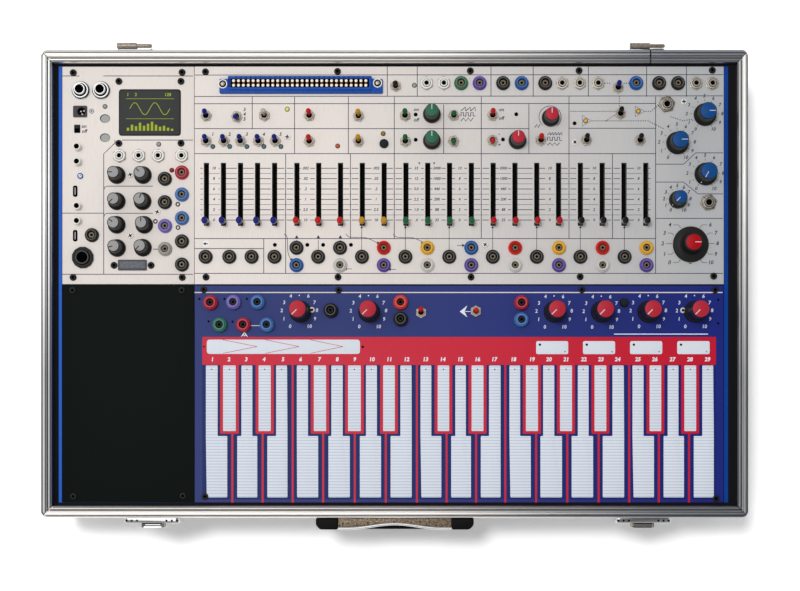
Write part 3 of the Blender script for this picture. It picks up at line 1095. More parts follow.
@step("io_fittings", "Input Panel Fittings")
def build_io_fittings(settings):
    """Knobs, buttons, slide switch, inlet, ports, trimmer and side connector of the input panel."""
    layers = []
    for px, py, turn in IO_KNOBS:
        layers += knob("input", spots([(px, py)])[0], turn, "grey knob cap", "hole black")
    piece("io_knobs", CASE_BODY, layers)
    button = turned([(3.7, 0.1), (3.7, 0.3), (3.4, 0.5)])
    seat = turned([(4.15, SUNK), (4.15, 0.15), (4.0, 0.2)])
    flat = np.array([1, 0.84, 1])
    planted("io_buttons", [(105.1, 118.7), (105.1, 137.8)], [
        (moved(Part(button.points * flat, button.faces), (0.35, -0.3, 0)), "grey button"),
        (Part(seat.points * flat, seat.faces), "black plastic")])
    bore = spots([(81.8, 112.0)])
    pins = many(turned([(0.6, 1.0), (0.6, 1.9), (0.4, 2.1)], 12),
                spots([(81.6, 112.2), (84.6, 111.6), (82.8, 114.9)]))
    piece("power_fittings", CASE_BODY, [
        (patch(74.3, 80.3, 124.9, 133.1, -0.1, 0.35, 0.05, 0.5), "hole black"),
        (patch(74.9, 79.7, 125.5, 128.8, 0.3, 1.6, 0.3, 0.4), "black plastic"),
        (patch(73.3, 87.3, 106, 117.5, -0.1, 1.0, 0.35, 1.0), "inlet plastic"),
        (many(ring(3.0, 3.7, 0.9, 1.25), bore), "black plastic"),
        (many(turned([(3.0, 0.9), (3.0, 1.1)], 24), bore), "hole black"), (pins, "frosted plating")])
    layers = []
    for y0, y1 in ((185.7, 197.0), (230.1, 241.6)):
        layers += [(patch(73.1, 77.6, y0, y1, -0.1, 0.35, 0.05, 1.7), "hole black"),
                   (patch(74.8, 75.9, y0 + 2, y1 - 2, 0.3, 0.5, 0.05, 0.3), "port steel")]
    trim = spots([(80.4, 176.2)])
    layers += [(patch(118.2, 146.9, 260, 270.6, -0.1, 1.2, 0.3, 0.8), "connector slate"),
               (patch(120.0, 145.2, 261.8, 268.6, 1.15, 1.3, 0.02, 0.5), "connector well"),
               (many(turned([(2.4, SUNK), (2.4, 0.7), (2.1, 0.9)], 24), trim), "blue plastic"),
               (many(turned([(1.5, 0.5), (1.5, 1.0), (1.3, 1.1)], 20), trim), "white ink"),
               (moved(block(-1.1, 1.1, -0.2, 0.2, 1.0, 1.2, 0.02, 0.05), trim[0], 0.6), "hole black")]
    piece("io_ports", CASE_BODY, layers)


@step("display", "Display")
def build_display(settings):
    """The display: a dark glass in a black frame, with a plain wave, bars and figures lit on it."""
    lift = 0.4
    base = PANEL + lift
    wave = [(130 + 40 * t, 109 - 6 * math.sin(t * 4 * math.pi)) for t in np.linspace(0, 1, 41)]
    marks = [stroke(wave, 0.55, base)] + [stroke([(126, y), (174, y)], 0.35, base) for y in (99, 119)]
    for k, height in enumerate((3, 6, 4.5, 8, 5, 7, 9, 6, 4, 5, 3, 2)):
        marks.append(patch(127 + k * 4, 129.4 + k * 4, 131 - height, 131, lift, lift + 0.06, 0, 0.1))
    marks.append(figures([("1", 128, 95), ("2", 136, 95), ("128", 168, 95)], 3.6, 0.1, base))
    piece("display", CASE_BODY, [(patch(118.9, 181.0, 89.4, 136.0, -0.2, 0.3, 0.15, 2.6), "black plastic"),
                                 (patch(120.2, 179.7, 90.7, 134.7, 0.2, 0.42, 0.05, 2.0), "display glass"),
                                 (marks, "display figures")])


@step("connector", "Edge Connector")
def build_connector(settings):
    """The long edge connector: stepped blue body, dark slot, contacts in pairs and an eyelet at each end."""
    body = [patch(219.8, 382.8, 79.6, 94, -0.2, 2.4, 0.4, 1.2),
            patch(228.5, 372, 77.2, 91, -0.2, 4, 0.4, 0.8)]
    columns = 234.4 + 4.88 * np.arange(28)
    shade = [patch(228.6, 231.4, 79.8, 88.6, 3.8, 4.05, 0.02, 0.3)]
    shade += [patch(x + 1.4, x + 3.4, 78.0, 79.2, 3.9, 4.06, 0.02, 0.2) for x in columns]
    contact = slab(rounded(box_outline(-1.15, 1.15, -1.15, 1.15), 0.9, 3), 3.9, 4.35, 0.25)
    bridge = slab(box_outline(-1.0, 1.0, -1.0, 1.0), 4.0, 4.15)
    eyes = spots([(223.2, 84.8), (377.7, 84.0)])
    piece("edge_connector", CASE_BODY, [
        (body, "connector blue"), (patch(231.5, 369.3, 80.0, 88.6, 3.7, 4.04, 0.02, 0.3), "hole black"),
        (shade, "connector shade"),
        (many(contact, spots([(x, y) for x in columns for y in (82.2, 86.7)])), "gold contacts"),
        (many(bridge, spots([(x, 84.4) for x in columns])), "connector slot"),
        (many(ring(2.9, 3.7, 2.3, 2.75, 32), eyes), "frosted plating"),
        (many(turned([(2.9, 2.3), (2.9, 2.45)], 24), eyes), "hole black"),
        (many(turned([(1.7, 2.4), (1.7, 2.9), (1.2, 3.2)], 18), eyes), "nickel plating")])


# Printing

TENS = ["10", "8", "6", "4", "2", "0"]
TIMES = [".002", ".02", ".2", "1", "2.5", "10"]
PITCHES = ["3000", "1000", "440", "200", "88", "33"]
FIGURE_COLUMNS = [(214.1, TENS), (305.6, TIMES), (376.2, TIMES),
                  (416.4, ["33", "12", "5.0", "2.2", "1.0", ".4"]), (437.0, PITCHES), (459.7, TENS),
                  (503.5, PITCHES), (549.8, TENS), (594.2, TENS), (638.6, TENS)]
SECTION_RULES = [285.7, 350.5, 394.3, 481.3, 569, 612.5]
VOLUME_MARKS = [("4", "6", 20.2, 225, (3.6, 8.4, 10.8, 3.0)), ("3", "7", 25.6, 233.2, (3.0, 7.0, 9.2, 2.0)),
                ("2", "8", 27.4, 243.7, (3.0, 9.0, 9.4, 0.0)), ("1", "9", 25.6, 254.3, (3.0, 7.0, 9.2, -2.0)),
                ("0", "10", 20.6, 262.7, (3.6, 8.4, 10.8, -3.0))]
IO_LINES = [[(62.5, 76.1), (79.5, 76.1)], [(103.5, 76.1), (193, 76.1)], [(62.5, 213.3), (103.8, 213.3)],
            [(62.5, 274.4), (193, 274.4)], [(103.8, 274.4), (103.8, 154), (115, 143.2), (115, 140.2)],
            [(122, 140.2), (193, 140.2)], [(103.9, 190), (104.8, 187.4), (107, 186.3), (153, 186.3)],
            [(103.9, 217), (104.8, 214.5), (107, 213.4), (153, 213.4)], [(153, 249.3), (158, 249.3)]]
LEVEL_LINES = [(194.5, 75.2, 723, 74.8), (194.5, 96.6, 723, 96.0), (194.5, 103.9, 655.6, 103.6),
               (194.5, 128.8, 528.9, 128.8), (569, 128.4, 655.6, 128.4), (194.5, 153.8, 655.6, 153.8),
               (194.5, 238.7, 655.6, 238.7), (194.5, 248.7, 263.8, 248.7), (194.5, 273.5, 723, 273.5)]
UPRIGHT_LINES = [(252.3, 97, 128.8), (294.6, 97, 153.8), (348.4, 97, 153.8), (387.3, 66.5, 96.8),
                 (417.3, 66.5, 96.8), (394.3, 97, 238.7), (443.7, 104.4, 153.8), (481.3, 96.8, 238.7),
                 (528.9, 104.4, 153.8), (569, 96.8, 238.7), (655.6, 96.8, 273.5), (285.7, 153.8, 273.5),
                 (263.8, 238.7, 273.5), (350.5, 153.8, 238.7), (612.5, 153.8, 238.7), (491, 66.5, 96.8),
                 (533.2, 66.5, 96.8), (588.4, 66.5, 96.8), (646.6, 66.5, 96.8), (686.4, 66.5, 96.8)]
BENT_LINES = [[(656, 164.3), (683.7, 164.3), (695.7, 153), (723, 153)],
              [(656, 182.2), (683.4, 182.2), (698, 194), (723, 194)], [(656, 218.5), (723, 218.5)]]
DOTTED_LINES = [[(571, 111.5), (615, 111.5)], [(646, 111.5), (651, 111.5), (659, 104.6)],
                [(605, 83.4), (612, 83.4)], [(624, 83.4), (630, 83.4)], [(619.4, 96.5), (619.4, 108)],
                [(593, 121), (648, 121), (664, 129)], [(606, 121), (617, 113.5)],
                [(671, 117), (683, 121), (694, 119)]]
SIDEWAYS = np.array([(0, 0), (1.5, 2.1), (4, 3.3), (8, 3.6), (16, 3.5), (20, 3.9), (24, 5.3), (28, 7.3),
                     (32, 9.2)])
THIN_LINES = [[(296.7, 246), (296.7, 240)], [(318.3, 252), (318.3, 240)], [(340.4, 246), (340.4, 240)],
              [(284, 234), (286.4, 235.7), (287.5, 238.5), (287.6, 247), (287.9, 252), (289, 256),
               (291, 259.3)],
              (SIDEWAYS + [346, 234]).tolist(), (SIDEWAYS + [393, 234]).tolist(), [(345, 269), (352, 269)],
              [(389, 269.5), (396, 269.5)], [(457, 245.5), (463, 245.5)]]
WAVE_SIGNS = [(461, 475.5, 111, 107.2, 3, "saw"), (461, 475.5, 116.2, 112.6, 3, "square"),
              (461, 475.5, 121.3, 118, 3, "triangle"), (547.5, 562, 135.2, 132.4, 5, "saw"),
              (547.5, 562, 140.6, 137.2, 3, "square"), (547.5, 562, 145.6, 142.8, 3, "triangle"),
              (535, 541.5, 127.6, 124.6, 2, "triangle")]
WAVES = {"saw": [(0, 0), (0.94, 1), (0.98, 0)], "triangle": [(0, 0), (0.5, 1)],
         "square": [(0, 0), (0.04, 1), (0.5, 1), (0.54, 0), (0.97, 0)]}
TRIANGLES = [[(582.3, 115.6), (582.3, 126.4), (591.5, 121)], [(635.3, 106.4), (635.3, 116.8), (644.7, 111.5)]]
ARROWS = [(291.5, 259.5, (0.6, 0.8)), (378, 243, (0.9, 0.44)), (422, 243, (0.9, 0.44)), (346, 269, (-1, 0)),
          (390, 269.5, (-1, 0)), (463, 245.5, (1, 0))]
SMALL_FIGURES = [("on", 84.2, 126.4), ("off", 84.6, 131.4), ("3", 244.7, 109.8), ("4", 244.7, 114.5),
                 ("5", 244.7, 119.3), ("on", 416.4, 109.6), ("off", 416.4, 120.2), ("on", 501.6, 109.8),
                 ("off", 501.6, 118.4), ("-", 499.3, 134), ("+", 499.5, 145)]


def zigzag(x0, x1, low, high, teeth, kind):
    """Pixels of a wave sign: a saw, a square wave or a triangle wave with a number of teeth."""
    step_x = (x1 - x0) / teeth
    return [(x0 + k * step_x + step_x * share, high if up else low) for k in range(teeth)
            for share, up in WAVES[kind]]


def printed_rules(width):
    """Rules, dotted lines, arrows and wave signs of the two silver panels."""
    parts = [stroke(line, width) for line in IO_LINES]
    parts += [stroke([(x0, y0), (x1, y1)], width) for x0, y0, x1, y1 in LEVEL_LINES]
    parts += [stroke([(x, y0), (x, y1)], width) for x, y0, y1 in UPRIGHT_LINES]
    parts += [stroke(line, width) for line in BENT_LINES]
    parts += [stroke(line, width * 0.8) for line in THIN_LINES]
    parts += [stroke(zigzag(*sign), width * 1.2) for sign in WAVE_SIGNS]
    parts += [stroke(line, width, closed=True) for line in TRIANGLES]
    parts += [arrow_head(x, 237.4, (0, -1), 2.2) for x in (296.7, 318.3, 340.4)]
    for x in (361.7, 405.4, 449.2, 492.7, 536.7, 580.3, 624.4):
        parts += [stroke([(x, 250), (x, 228)], width * 0.75), arrow_head(x, 227.6, (0, -1), 1.8)]
    parts += [arrow_head(x, 163.2, (0, 1), 1.5) for x in (419.3, 434.2)]
    parts += [arrow_head(*place, 2.0) for place in ARROWS]
    parts += [dotted(line, 1.95, 0.5) for line in DOTTED_LINES]
    angle = np.radians(np.linspace(-140, 140, 24))
    parts.append(stroke(list(zip(550.1 + 11.1 * np.sin(angle), 117.2 - 11.1 * np.cos(angle))), 0.45))
    return parts


def fader_scales(rows):
    """Scale lines between the fader slots, with gaps at figures and section rules, and paler ones between."""
    scales, faint = [], []
    stops = sorted([x - 3.0 for x in FADER_COLUMNS] + [x + 3.0 for x in FADER_COLUMNS])
    for x0, x1 in [(200.5, stops[0]), *zip(stops[1:-1:2], stops[2::2]), (stops[-1], 650.5)]:
        gaps = [(x, 4.6) for x, _ in FIGURE_COLUMNS] + [(x, 1.2) for x in SECTION_RULES]
        ends = [x0] + [x + side * half for x, half in gaps if x0 < x < x1 for side in (-1, 1)] + [x1]
        for k, y in enumerate(rows):
            for a, b in zip(ends[::2], ends[1::2]):
                if b - a > 1:
                    scales.append(stroke([(a, y), (b, y)], 0.55))
            if k < len(rows) - 1:
                faint.append(stroke([(x0, y + 5.2), (x1, y + 5.2)], 0.34))
    return scales, faint


@step("printing", "Printing")
def build_printing(settings):
    """Rules, scales and figures on the two silver panels."""
    sign = [stroke([(204.6, 243.9), (208.2, 243.9)], 0.7), arrow_head(205, 243.9, (-1, 0), 2.0)]
    piece("printed_rules", CASE_BODY, [
        (printed_rules(settings.rule_width / MM), "printing ink"),
        (many(printed(2.8, 24, INK_HIGH - 0.02), spots([(206.1, 243.9)])), "bright printing"),
        (moved(merged(sign), (0, 0, 0.03)), "printing ink")])
    rows = np.linspace(168.4, 220.2, 6)
    scales, faint = fader_scales(rows)
    piece("printed_scales", CASE_BODY, [(scales, "printing ink"), (faint, "pale printing ink")])
    around, ticks, volume = [], [], []
    for cx, cy, reach, near, far in ((677, 142.2, 17.8, 12.6, 14.4), (704.5, 113.9, 17.8, 12.6, 14.4),
                                     (705.2, 173.3, 17.8, 12.6, 14.4), (677.3, 198.9, 13.2, 9.6, 10.8)):
        for value in range(11):
            angle = math.radians(30 * value - 150)
            dx, dy = math.sin(angle), -math.cos(angle)
            around.append((str(value), cx + dx * reach, cy + dy * reach))
            ticks.append([(cx + dx * near, cy + dy * near), (cx + dx * far, cy + dy * far)])
    for low_value, high_value, reach, y, (start, bend, end, rise) in VOLUME_MARKS:
        for value, side in ((low_value, -1), (high_value, 1)):
            x = 690.2 + side * reach
            ticks.append([(x - side * start, y), (x - side * bend, y), (x - side * end, y + rise)])
            volume.append((value, x, y))
    columns = [(text, x, y) for x, column in FIGURE_COLUMNS for text, y in zip(column, rows)]
    small = [(str(k + 1), x, 134.5) for k, x in enumerate((212.9, 229.7, 246.9, 263.9, 280.7))]
    small += SMALL_FIGURES
    shapes = [figures(around, 3.9), figures(columns, 3.1), figures(small, 3.9), figures(volume, 4.4)]
    shapes += [stroke(tick, 0.36) for tick in ticks]
    piece("printed_figures", CASE_BODY, [(shapes, "printing ink")])


def natural_key(up0, up1, low0, low1):
    """A long key: its upper part runs between the short keys, and bends nearer than 1.2 mm to the last are
    left out."""
    near = [at(low0, 497.5)]
    for x, y in ((low1, 497.5), (low1, 436.1), (up1, 436.1), (up1, 365.6), (up0, 365.6), (up0, 436.1),
                 (low0, 436.1)):
        if math.dist(at(x, y), near[-1]) > 1.2:
            near.append(at(x, y))
    return slab(rounded(near, 0.7, 3), PANEL + SUNK, PANEL + 0.5, 0.15)


@step("keyboard", "Touch Keyboard")
def build_keyboard(settings):
    """Touch keys, strip and pads of the keyboard panel with their red and dark blue fields and figures."""
    finish("keyboard red", settings.red)
    striped("key metal", srgb(212, 219, 229), srgb(182, 188, 204), 0.0024, 0.1, 0.5)
    reds = [patch(202.4, 715.9, 337, 365, SUNK, 0.07)]
    reds += [patch(x0 - 3, x1 + 3, 362, 433.8, SUNK, 0.065, 0, 0.8) for x0, x1 in SHARPS]
    reds += [patch(x - 1, x + 1, 362, 502.8, SUNK, 0.06) for x in KEY_DIVIDERS]
    keys = [natural_key(*key) for key in NATURALS]
    keys += [patch(x0, x1, 365.6, 431.2, SUNK, 0.5, 0.15, 0.7) for x0, x1 in SHARPS]
    dots = [((x0 + x1) / 2, 369.5) for x0, x1, *_ in NATURALS + SHARPS]
    dots += [(x1 - 3.2, 351.8) for _, x1 in PRESET_PADS]
    pads = [patch(206.9, 360.1, 339.7, 354.1, SUNK, 0.5, 0.15, 2.6)]
    pads += [patch(x0, x1, 341.2, 354.3, SUNK, 0.5, 0.15, 1.6) for x0, x1 in PRESET_PADS]
    chevrons = [stroke([(x0, 346.7 + side * 6.8), (x1, 346.7)], 0.4, PANEL + 0.5)
                for x0, x1 in ((223, 257.2), (265.5, 299.1), (310.5, 342.9)) for side in (-1, 1)]
    piece("touch_fields", CASE_BODY, [(patch(202.4, 715.9, 365, 499.5, SUNK, 0.04), "key surround"),
                                      (reds, "keyboard red")])
    piece("touch_keys", CASE_BODY, [
        (keys, "key metal"), (pads, "pad metal"), (chevrons, "keyboard red"),
        (many(turned([(0.5, 0.45), (0.5, 0.56)], 10), spots(dots)), "hole black"),
        (many(turned([(1.0, 0.45), (1.0, 0.56)], 14), spots([(x0 + 3.8, 344.8) for x0, _ in PRESET_PADS])),
         "hole black")])
    numbers = [(str(k + 1), x, 359.6) for k, x in enumerate(KEY_NUMBER_X)]
    marks = [("0", -9.2, 15.3), ("1", -15.4, 7.8), ("2", -17.6, -0.5), ("3", -15.1, -8.5), ("4", -8.6, -15),
             ("6", 9, -15), ("7", 15.1, -8.5), ("8", 17.6, -0.7), ("9", 15.6, 7.8), ("10", 10, 15.3)]
    around = [(text, x + dx, y + dy) for x, y in KEY_KNOBS.values() for text, dx, dy in marks]
    top_dots = many(printed(0.55, 10), spots([(x, y - 15.7) for x, y in KEY_KNOBS.values()]))
    signs = [stroke([(251, 325.7), (260, 325.7)], 0.5), stroke([(244.5, 333.5), (244.5, 336.5)], 0.7),
             stroke([(465, 311.6), (472, 311.6)], 0.5), swept_head(244.5, 331.5, (0, -1), 5.6, 3.6),
             swept_head(459.8, 311.6, (-1, 0), 7.6, 6.0), stroke([(614, 334.2), (707.9, 334.2)], 0.75)]
    piece("keyboard_printing", CASE_BODY, [
        (figures(numbers, 4.5, 0.12, PANEL + 0.05, 0.04), "white ink"),
        (figures(around, 4.1, 0.08), "dim white ink"), (top_dots, "white ink"), (signs, "white ink"),
        (stroke([(194.6, 292.6), (722.6, 292.6)], 0.85), "cream rule")])


# Pieces that move

@step("knobs", "Knobs")
def build_knobs(settings):
    """The fifteen knobs that turn: silver panel ones and the taller ones of the keyboard panel."""
    for name, kind, turn, colour in SOUND_KNOBS + [(name, "tall", 135, "ruby") for name in KEY_KNOBS]:
        node = f"knob_{name}"
        x, y = centre_of(node)
        layers = knob(kind, (x, y, PANEL), turn, f"{colour} plastic", "pointer paint")
        if kind == "volume":
            flange = turned([(14.6, 0.4), (14.6, 1.2), (14.0, 2.0), (9.2, 2.6), (8.6, 3.6)], 60)
            grub = turned([(1.3, 0.4), (1.3, 1.1), (0.9, 1.4)], 16)
            layers += [(moved(flange, (x, y, PANEL)), "black plastic"),
                       (moved(grub, (x - 0.4, y - 14.6, PANEL)), "contact brass")]
        piece(f"{node}_body", node, layers, [node])


@step("faders", "Faders")
def build_faders(settings):
    """Twenty-two fader caps, each an oval coloured head on a bright neck and a flat stem."""
    turns = np.arange(24) * 2 * math.pi / 24
    head = [(0.9, 86.6), (0.98, 87.0), (1.0, 88.4), (0.97, 91.0), (0.88, 92.0), (0.7, 92.4), (0.3, 92.5)]
    neck = [(0.82, 80.9), (0.9, 81.2), (0.9, 84.5), (0.86, 86.7)]
    for node, colour in FADER_NODES:
        x, y = centre_of(node)
        layers = []
        for rows, drop, surface in ((head, 0.7, f"{colour} plastic"), (neck, 0.3, "chrome plating")):
            rings = [np.column_stack([x + 2.4 * size * np.cos(turns), y - drop + 2.95 * size * np.sin(turns),
                                      np.full(len(turns), z)]) for size, z in rows]
            layers.append((loft(rings), surface))
        layers.append((block(x - 0.75, x + 0.75, y - 2.1, y + 2.1, 66.5, 81.2, 0.2, 0.3), "fader stem"))
        piece(f"{node}_cap", node, layers, [node])


@step("moving_switches", "Moving Switches")
def build_moving_switches(settings):
    """Levers of the three toggle switches that tilt, with their nuts, and the two push buttons."""
    for node, (colour, way) in MOVING_TOGGLES.items():
        x, y = centre_of(node)
        lean = settings.toggle_lean * way
        bat, sleeve = toggle_lever(lean)
        place = (x, y - (sides_of(node)[5] - PANEL) * math.sin(lean) / 2, PANEL)
        piece(f"{node}_lever", node, [(moved(bat, place), "chrome plating"),
                                      (moved(sleeve, place), f"{colour} plastic")],
              [node])
        piece(f"{node}_nut", CASE_BODY, [(moved(part, place), surface) for part, surface in toggle_seat()])
    cap = turned([(3.3, -1.0), (3.35, 2.6), (3.15, 3.4), (2.6, 3.8), (1.2, 3.98)])
    seat = ring(BUTTON_HOLE, 3.8, SUNK, 0.6)
    for node in ("button_pulse", "button_reset"):
        place = (*centre_of(node), PANEL)
        piece(f"{node}_cap", node, [(moved(cap, place), "button rubber")], [node])
        piece(f"{node}_seat", CASE_BODY, [(moved(seat, place), "black plastic")])


# Hardware outside the case

FRONT = -187.15
BACK = 192.85


@step("handle", "Handle")
def build_handle(settings):
    """Bracket with two black ends, a brushed plate with a bright lip, and the swinging grip."""
    ends = []
    for side in (-1, 1):
        near, outer = side * 46.3, side * 64.4
        corners = [(near, FRONT - 0.4), (near, FRONT - 9.9), (outer - side * 3.4, FRONT - 9.9),
                   (outer, FRONT - 6.2), (outer, FRONT - 0.4)]
        ends.append(slab(rounded(corners[::side], 1.6, 3), 61.5, 81.9, 0.9, 3))
    xs = np.linspace(-46, 46, 41)
    ys = FRONT + (-5.7 - 1.85 * (1 - np.cos(math.pi * np.minimum(np.abs(xs) / 38, 1))))
    outline = list(zip(xs, ys)) + [(46, FRONT - 0.4), (-46, FRONT - 0.4)]
    shelf = [slab(outline, 78.3, 81.6, 0.3, 2), block(-46, 46, FRONT - 2.2, FRONT - 0.4, 57.2, 78.5)]
    lip = swept(np.column_stack([xs, ys + 0.45, np.full(len(xs), 81.2)]), oval(1.2, 1.2, 12))
    pad = block(-33, 33, FRONT - 9.7, FRONT - 2.4, 73.5, 77.9, 1.2, 3)
    piece("handle_mount", CASE_BODY, [(ends, "handle ends"), (shelf, "brushed plate"),
                                      (lip, "chrome plating"),
                                      (pad, "handle ends")], ["handle_bracket"])
    left, _, y0, y1, bottom, top = sides_of("handle_grip")
    middle = (y0 + y1) / 2
    half, radius = 3.3, 12.0
    turn_x, turn_z = left + half + radius, bottom + half + 4 + radius
    path = [(left + half, middle, top - half - share * (top - half - turn_z))
            for share in np.linspace(0, 1, 6)[:-1]]
    path += [(turn_x - radius * math.cos(a), middle, turn_z - radius * math.sin(a))
             for a in np.radians(np.linspace(0, 90, 9))]
    arm = swept(path + [(-x, y, z) for x, y, z in path[::-1]], oval(half, half, 18), (0, 1, 0))
    rings = []
    for x in np.linspace(-36, 36, 37):
        rib = 0.25 * (math.cos(x * 2 * math.pi / 6) > 0)
        swell = 1 - 0.12 * (x / 36) ** 4
        up, across = oval(half + 0.1 - rib, (7.3 - rib) * swell, 20, 2.6).T
        rings.append(np.column_stack([np.full(20, x), middle + up, bottom + 7.4 + across]))
    piece("handle_bail", "handle_grip", [(arm, "black plastic"), (outward(loft(rings)), "grip rubber")],
          ["handle_grip"])


@step("latches", "Latches")
def build_latches(settings):
    """Two draw latches: base plate with knuckles and rivets, and the lever that swings on them."""
    for side in ("left", "right"):
        x0, x1, _, _, z0, z1 = sides_of(f"latch_base_{side}")
        middle = (x0 + x1) / 2
        base = facing(rounded(box_outline(x0, x1, z0, z1), 3, 4), FRONT - 0.3, FRONT - 4.6, 0.8)
        pits = [moved(turned([(radius, z1 - 0.4), (radius, z1 + 0.06)], 14),
                      (middle + way * reach, FRONT - 2.5, 0))
                for way in (-1, 1) for radius, reach in ((1.0, 20.5), (0.9, 16.3), (0.9, 12))]
        pits.append(block(middle - 8, middle + 8, FRONT - 5.1, FRONT - 4.3, z1 - 3, z1 - 0.2))
        x, y, z = rivet_head().points.T
        rivet = Part(np.column_stack([x, -z, y]), rivet_head().faces)
        heads = [outward(moved(rivet, (x, FRONT - 4.5, z))) for x in (x0 + 5, x1 - 5)
                 for z in (z0 + 5, z1 - 5)]
        ears = [block(x - 1.1, x + 1.1, FRONT - 8.4, FRONT - 0.5, z1 - 12, z1 - 3, 0.8, 0.8)
                for x in (middle - 8.2, middle + 8.2)]
        piece(f"latch_plate_{side}", CASE_BODY, [(base, "chrome plating"), (heads, "nickel plating"),
                                                   (ears, "bushing steel"), (pits, "hole black")],
              [f"latch_base_{side}"])
        node = f"latch_lever_{side}"
        x0, x1, front, back, foot, top = sides_of(node)
        middle = (x0 + x1) / 2
        rings = []
        for z, bow in zip(np.linspace(foot, top, 12), 0.9 * np.sin(np.linspace(0, math.pi, 12))):
            share = (z - foot) / (top - foot)
            half = (x1 - x0) / 2 * (0.86 + 0.14 * min(1, share * 3))
            lip = max(0.0, 0.16 - share) / 0.16
            y = front + 0.2 + 1.2 * (1 - lip)
            rings.append([(middle - half, y + bow * 0.3, z), (middle + half, y + bow * 0.3, z),
                          (middle + half, y + 1.5, z), (middle - half, y + 1.5, z)])
        barrel = turned([(2.4, -6.6), (2.7, -6.2), (2.7, 6.2), (2.4, 6.6)], 20)
        lever = [outward(loft(rings)), swapped(barrel, [2, 1, 0], (middle, back - 2.9, top - 3.2))]
        piece(f"latch_hook_{side}", node, [(lever, "chrome plating")], [node])


@step("hinges", "Hinges")
def build_hinges(settings):
    """Lift-off hinges: a leaf on the wall, a barrel and the pin that stands out of it."""
    barrel = turned([(2.2, 0), (2.5, 0.4), (2.5, 15.8), (2.2, 16.2)], 20)
    pin = turned([(1.6, 15.8), (1.6, 27.2), (1.2, 28.2), (0.5, 28.4)], 16)
    for node in ("hinge_left", "hinge_right"):
        x0, x1, _, _, z0, z1 = sides_of(node)
        leaf = facing(rounded(box_outline(x0, x1, z0, z1 - 3), 2, 4), BACK + 1.8, BACK + 0.3, 0.3)
        rods = [swapped(part, [2, 1, 0], (x0, BACK + 3.7, z1 - 2.5)) for part in (barrel, pin)]
        heads = [swapped(rivet_head(), [0, 2, 1], (x, BACK + 1.7, z))
                 for x in (x0 + 5, x1 - 5) for z in (z0 + 5, z0 + 13)]
        piece(f"{node}_set", CASE_BODY, [(leaf, "chrome plating"), (rods, "bushing steel"),
                                         (heads, "nickel plating")],
              [node])


# Stage

def sky_of(world, strength):
    """A studio seen from inside: dark straight above, where the camera hangs, and bright walls all round."""
    tree = world.node_tree
    background = tree.nodes["Background"]
    background.inputs["Strength"].default_value = strength
    place = tree.nodes.new("ShaderNodeTexCoord")
    split = tree.nodes.new("ShaderNodeSeparateXYZ")
    ramp = tree.nodes.new("ShaderNodeValToRGB")
    stops = [(0.0, 0.5), (0.25, 1.15), (0.62, 1.3), (0.86, 0.62), (0.97, 0.22)]
    while len(ramp.color_ramp.elements) < len(stops):
        ramp.color_ramp.elements.new(0.5)
    for element, (where, value) in zip(ramp.color_ramp.elements, stops):
        element.position = where
        element.color = (value, value, value, 1)
    tree.links.new(place.outputs["Generated"], split.inputs["Vector"])
    tree.links.new(split.outputs["Z"], ramp.inputs["Fac"])
    tree.links.new(ramp.outputs["Color"], background.inputs["Color"])


def floor_finish():
    """Pale floor that keeps its shadows and reads white to the camera."""
    material, shader, add, link = new_finish("floor")
    shader.inputs["Roughness"].default_value = 0.9
    shader.inputs["Specular IOR Level"].default_value = 0.0
    path = add("ShaderNodeLightPath")
    seen = add("ShaderNodeMath", "MAXIMUM")
    tone = add("ShaderNodeMapRange", To_Min=0.8, To_Max=1.35)
    link((path, "Is Camera Ray", seen, 0), (path, "Is Glossy Ray", seen, 1), (seen, "Value", tone, "Value"),
         (tone, "Result", shader, "Base Color"))
    return material


@step("stage", "Stage", "synth_stage")
def build_stage(settings):
    """Floor, soft light, sky and the camera above the panels."""
    scene = bpy.context.scene
    scene.view_settings.view_transform = "Standard"
    world = bpy.data.worlds.new("studio")
    scene.world = world
    world.use_nodes = True
    sky_of(world, settings.ambient)
    size = settings.floor_size / 2
    mesh = bpy.data.meshes.new("floor")
    mesh.from_pydata(level(box_outline(-size, size, -size, size), -0.0005).tolist(), [], [(0, 1, 2, 3)])
    mesh.materials.append(floor_finish())
    floor = bpy.data.objects.new("floor", mesh)
    scene.collection.objects.link(floor)
    for name, place, width, power in (("key_light", (-0.5, 0.42, 3.0), 0.5, settings.key_power),
                                      ("soft_light", (-1.15, 0.45, 3.0), 2.4, settings.soft_power),
                                      ("mirror_light", (-0.9, 0.45, 3.0), 2.9, settings.mirror_power)):
        data = bpy.data.lights.new(name, "AREA")
        data.size = width
        data.energy = power
        made = bpy.data.objects.new(name, data)
        scene.collection.objects.link(made)
        made.location = place
        made.rotation_mode = "QUATERNION"
        made.rotation_quaternion = (-Vector(place)).to_track_quat("-Z", "Y")
        made.visible_glossy = name == "mirror_light"
        made.visible_diffuse = not made.visible_glossy
    data = bpy.data.cameras.new("camera")
    data.sensor_width = 36.0
    data.lens = settings.lens
    data.shift_x, data.shift_y = settings.camera_shift
    camera = bpy.data.objects.new("camera", data)
    camera.location = settings.camera_place
    scene.collection.objects.link(camera)
    scene.camera = camera


# The add-on

def colour_property(name, description, default):
    """A property that holds a linear colour."""
    return FloatVectorProperty(name=name, description=description, size=3, default=default, min=0.0, max=1.0,
                               subtype="COLOR")


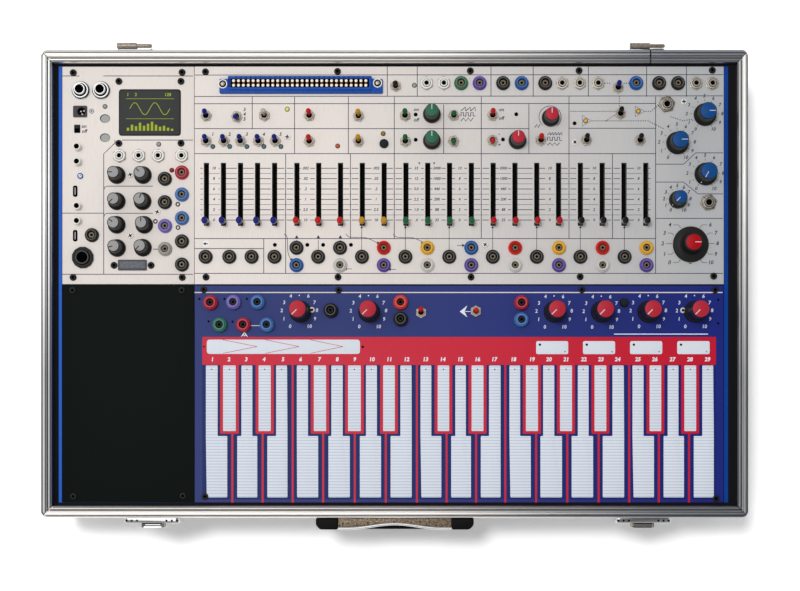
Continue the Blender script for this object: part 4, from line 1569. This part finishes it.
class SynthCaseSettings(bpy.types.PropertyGroup):
    """Sizes of the small parts of the case and the panels, and colours of the panels."""

    seam_place: FloatProperty(name="Seam", description="Place along X of the seam in the back bar of the rim",
                              default=0.2077, unit="LENGTH")
    screw_radius: FloatProperty(name="Screw Radius", description="Radius of a panel screw head",
                                default=0.0028, unit="LENGTH")
    rule_width: FloatProperty(name="Rule Width", description="Width of a printed rule", default=0.00055,
                              unit="LENGTH")
    toggle_lean: FloatProperty(name="Toggle Lean", description="Angle of a switch lever away from upright",
                               default=math.radians(12), subtype="ANGLE")
    silver: colour_property("Silver", "Colour of the sound panel and of the input and output panel", SILVER)
    black: colour_property("Black", "Colour of the blank panel", BLACK)
    blue: colour_property("Blue", "Colour of the keyboard panel", BLUE)
    red: colour_property("Red", "Colour of the printed fields of the keyboard", RED)


class SynthStageSettings(bpy.types.PropertyGroup):
    """Floor, lights and camera of the picture."""

    floor_size: FloatProperty(name="Floor", description="Side of the floor", default=12.0, unit="LENGTH")
    key_power: FloatProperty(name="Key Light", description="Power of the main light in watts", default=42.0)
    soft_power: FloatProperty(name="Soft Light", description="Power of the wide light, in watts",
                              default=17.0)
    mirror_power: FloatProperty(name="Mirrored Light", default=36.0,
                                description="Power of the wide light that only gloss shows, in watts")
    ambient: FloatProperty(name="Sky", description="Strength of the light from all sides", default=0.5)
    lens: FloatProperty(name="Lens", description="Focal length of the camera in millimetres", default=60.7)
    camera_place: FloatVectorProperty(name="Camera", description="Place of the camera", size=3,
                                      default=(0.0287, -0.1256, 1.18), subtype="TRANSLATION")
    camera_shift: FloatVectorProperty(name="Shift", description="Shift of the picture on the sensor", size=2,
                                      default=(-0.0375, 0.183))


class SYNTH_PT_case(bpy.types.Panel):
    """Settings and building steps in the sidebar of the 3D view."""

    bl_label = "Modular Synthesizer Case"
    bl_idname = "SYNTH_PT_case"
    bl_space_type = "VIEW_3D"
    bl_region_type = "UI"
    bl_category = "Synth"

    def draw(self, context):
        for group in (context.scene.synth_case, context.scene.synth_stage):
            for name in group.__annotations__:
                self.layout.prop(group, name)
        for made in STEPS:
            self.layout.operator(made.bl_idname)


CLASSES = (SynthCaseSettings, SynthStageSettings, *STEPS, SYNTH_PT_case)


def register():
    """Registers the classes and the settings of the scene."""
    for made in CLASSES:
        bpy.utils.register_class(made)
    bpy.types.Scene.synth_case = PointerProperty(type=SynthCaseSettings)
    bpy.types.Scene.synth_stage = PointerProperty(type=SynthStageSettings)


def unregister():
    """Takes the settings and the classes away again."""
    del bpy.types.Scene.synth_stage
    del bpy.types.Scene.synth_case
    for made in reversed(CLASSES):
        bpy.utils.unregister_class(made)


def main():
    """Builds every piece in order and writes the sizes of the model before and after."""
    register()
    for made in STEPS:
        group, name = made.bl_idname.split(".")
        getattr(getattr(bpy.ops, group), name)()


if __name__ == "__main__":
    main()
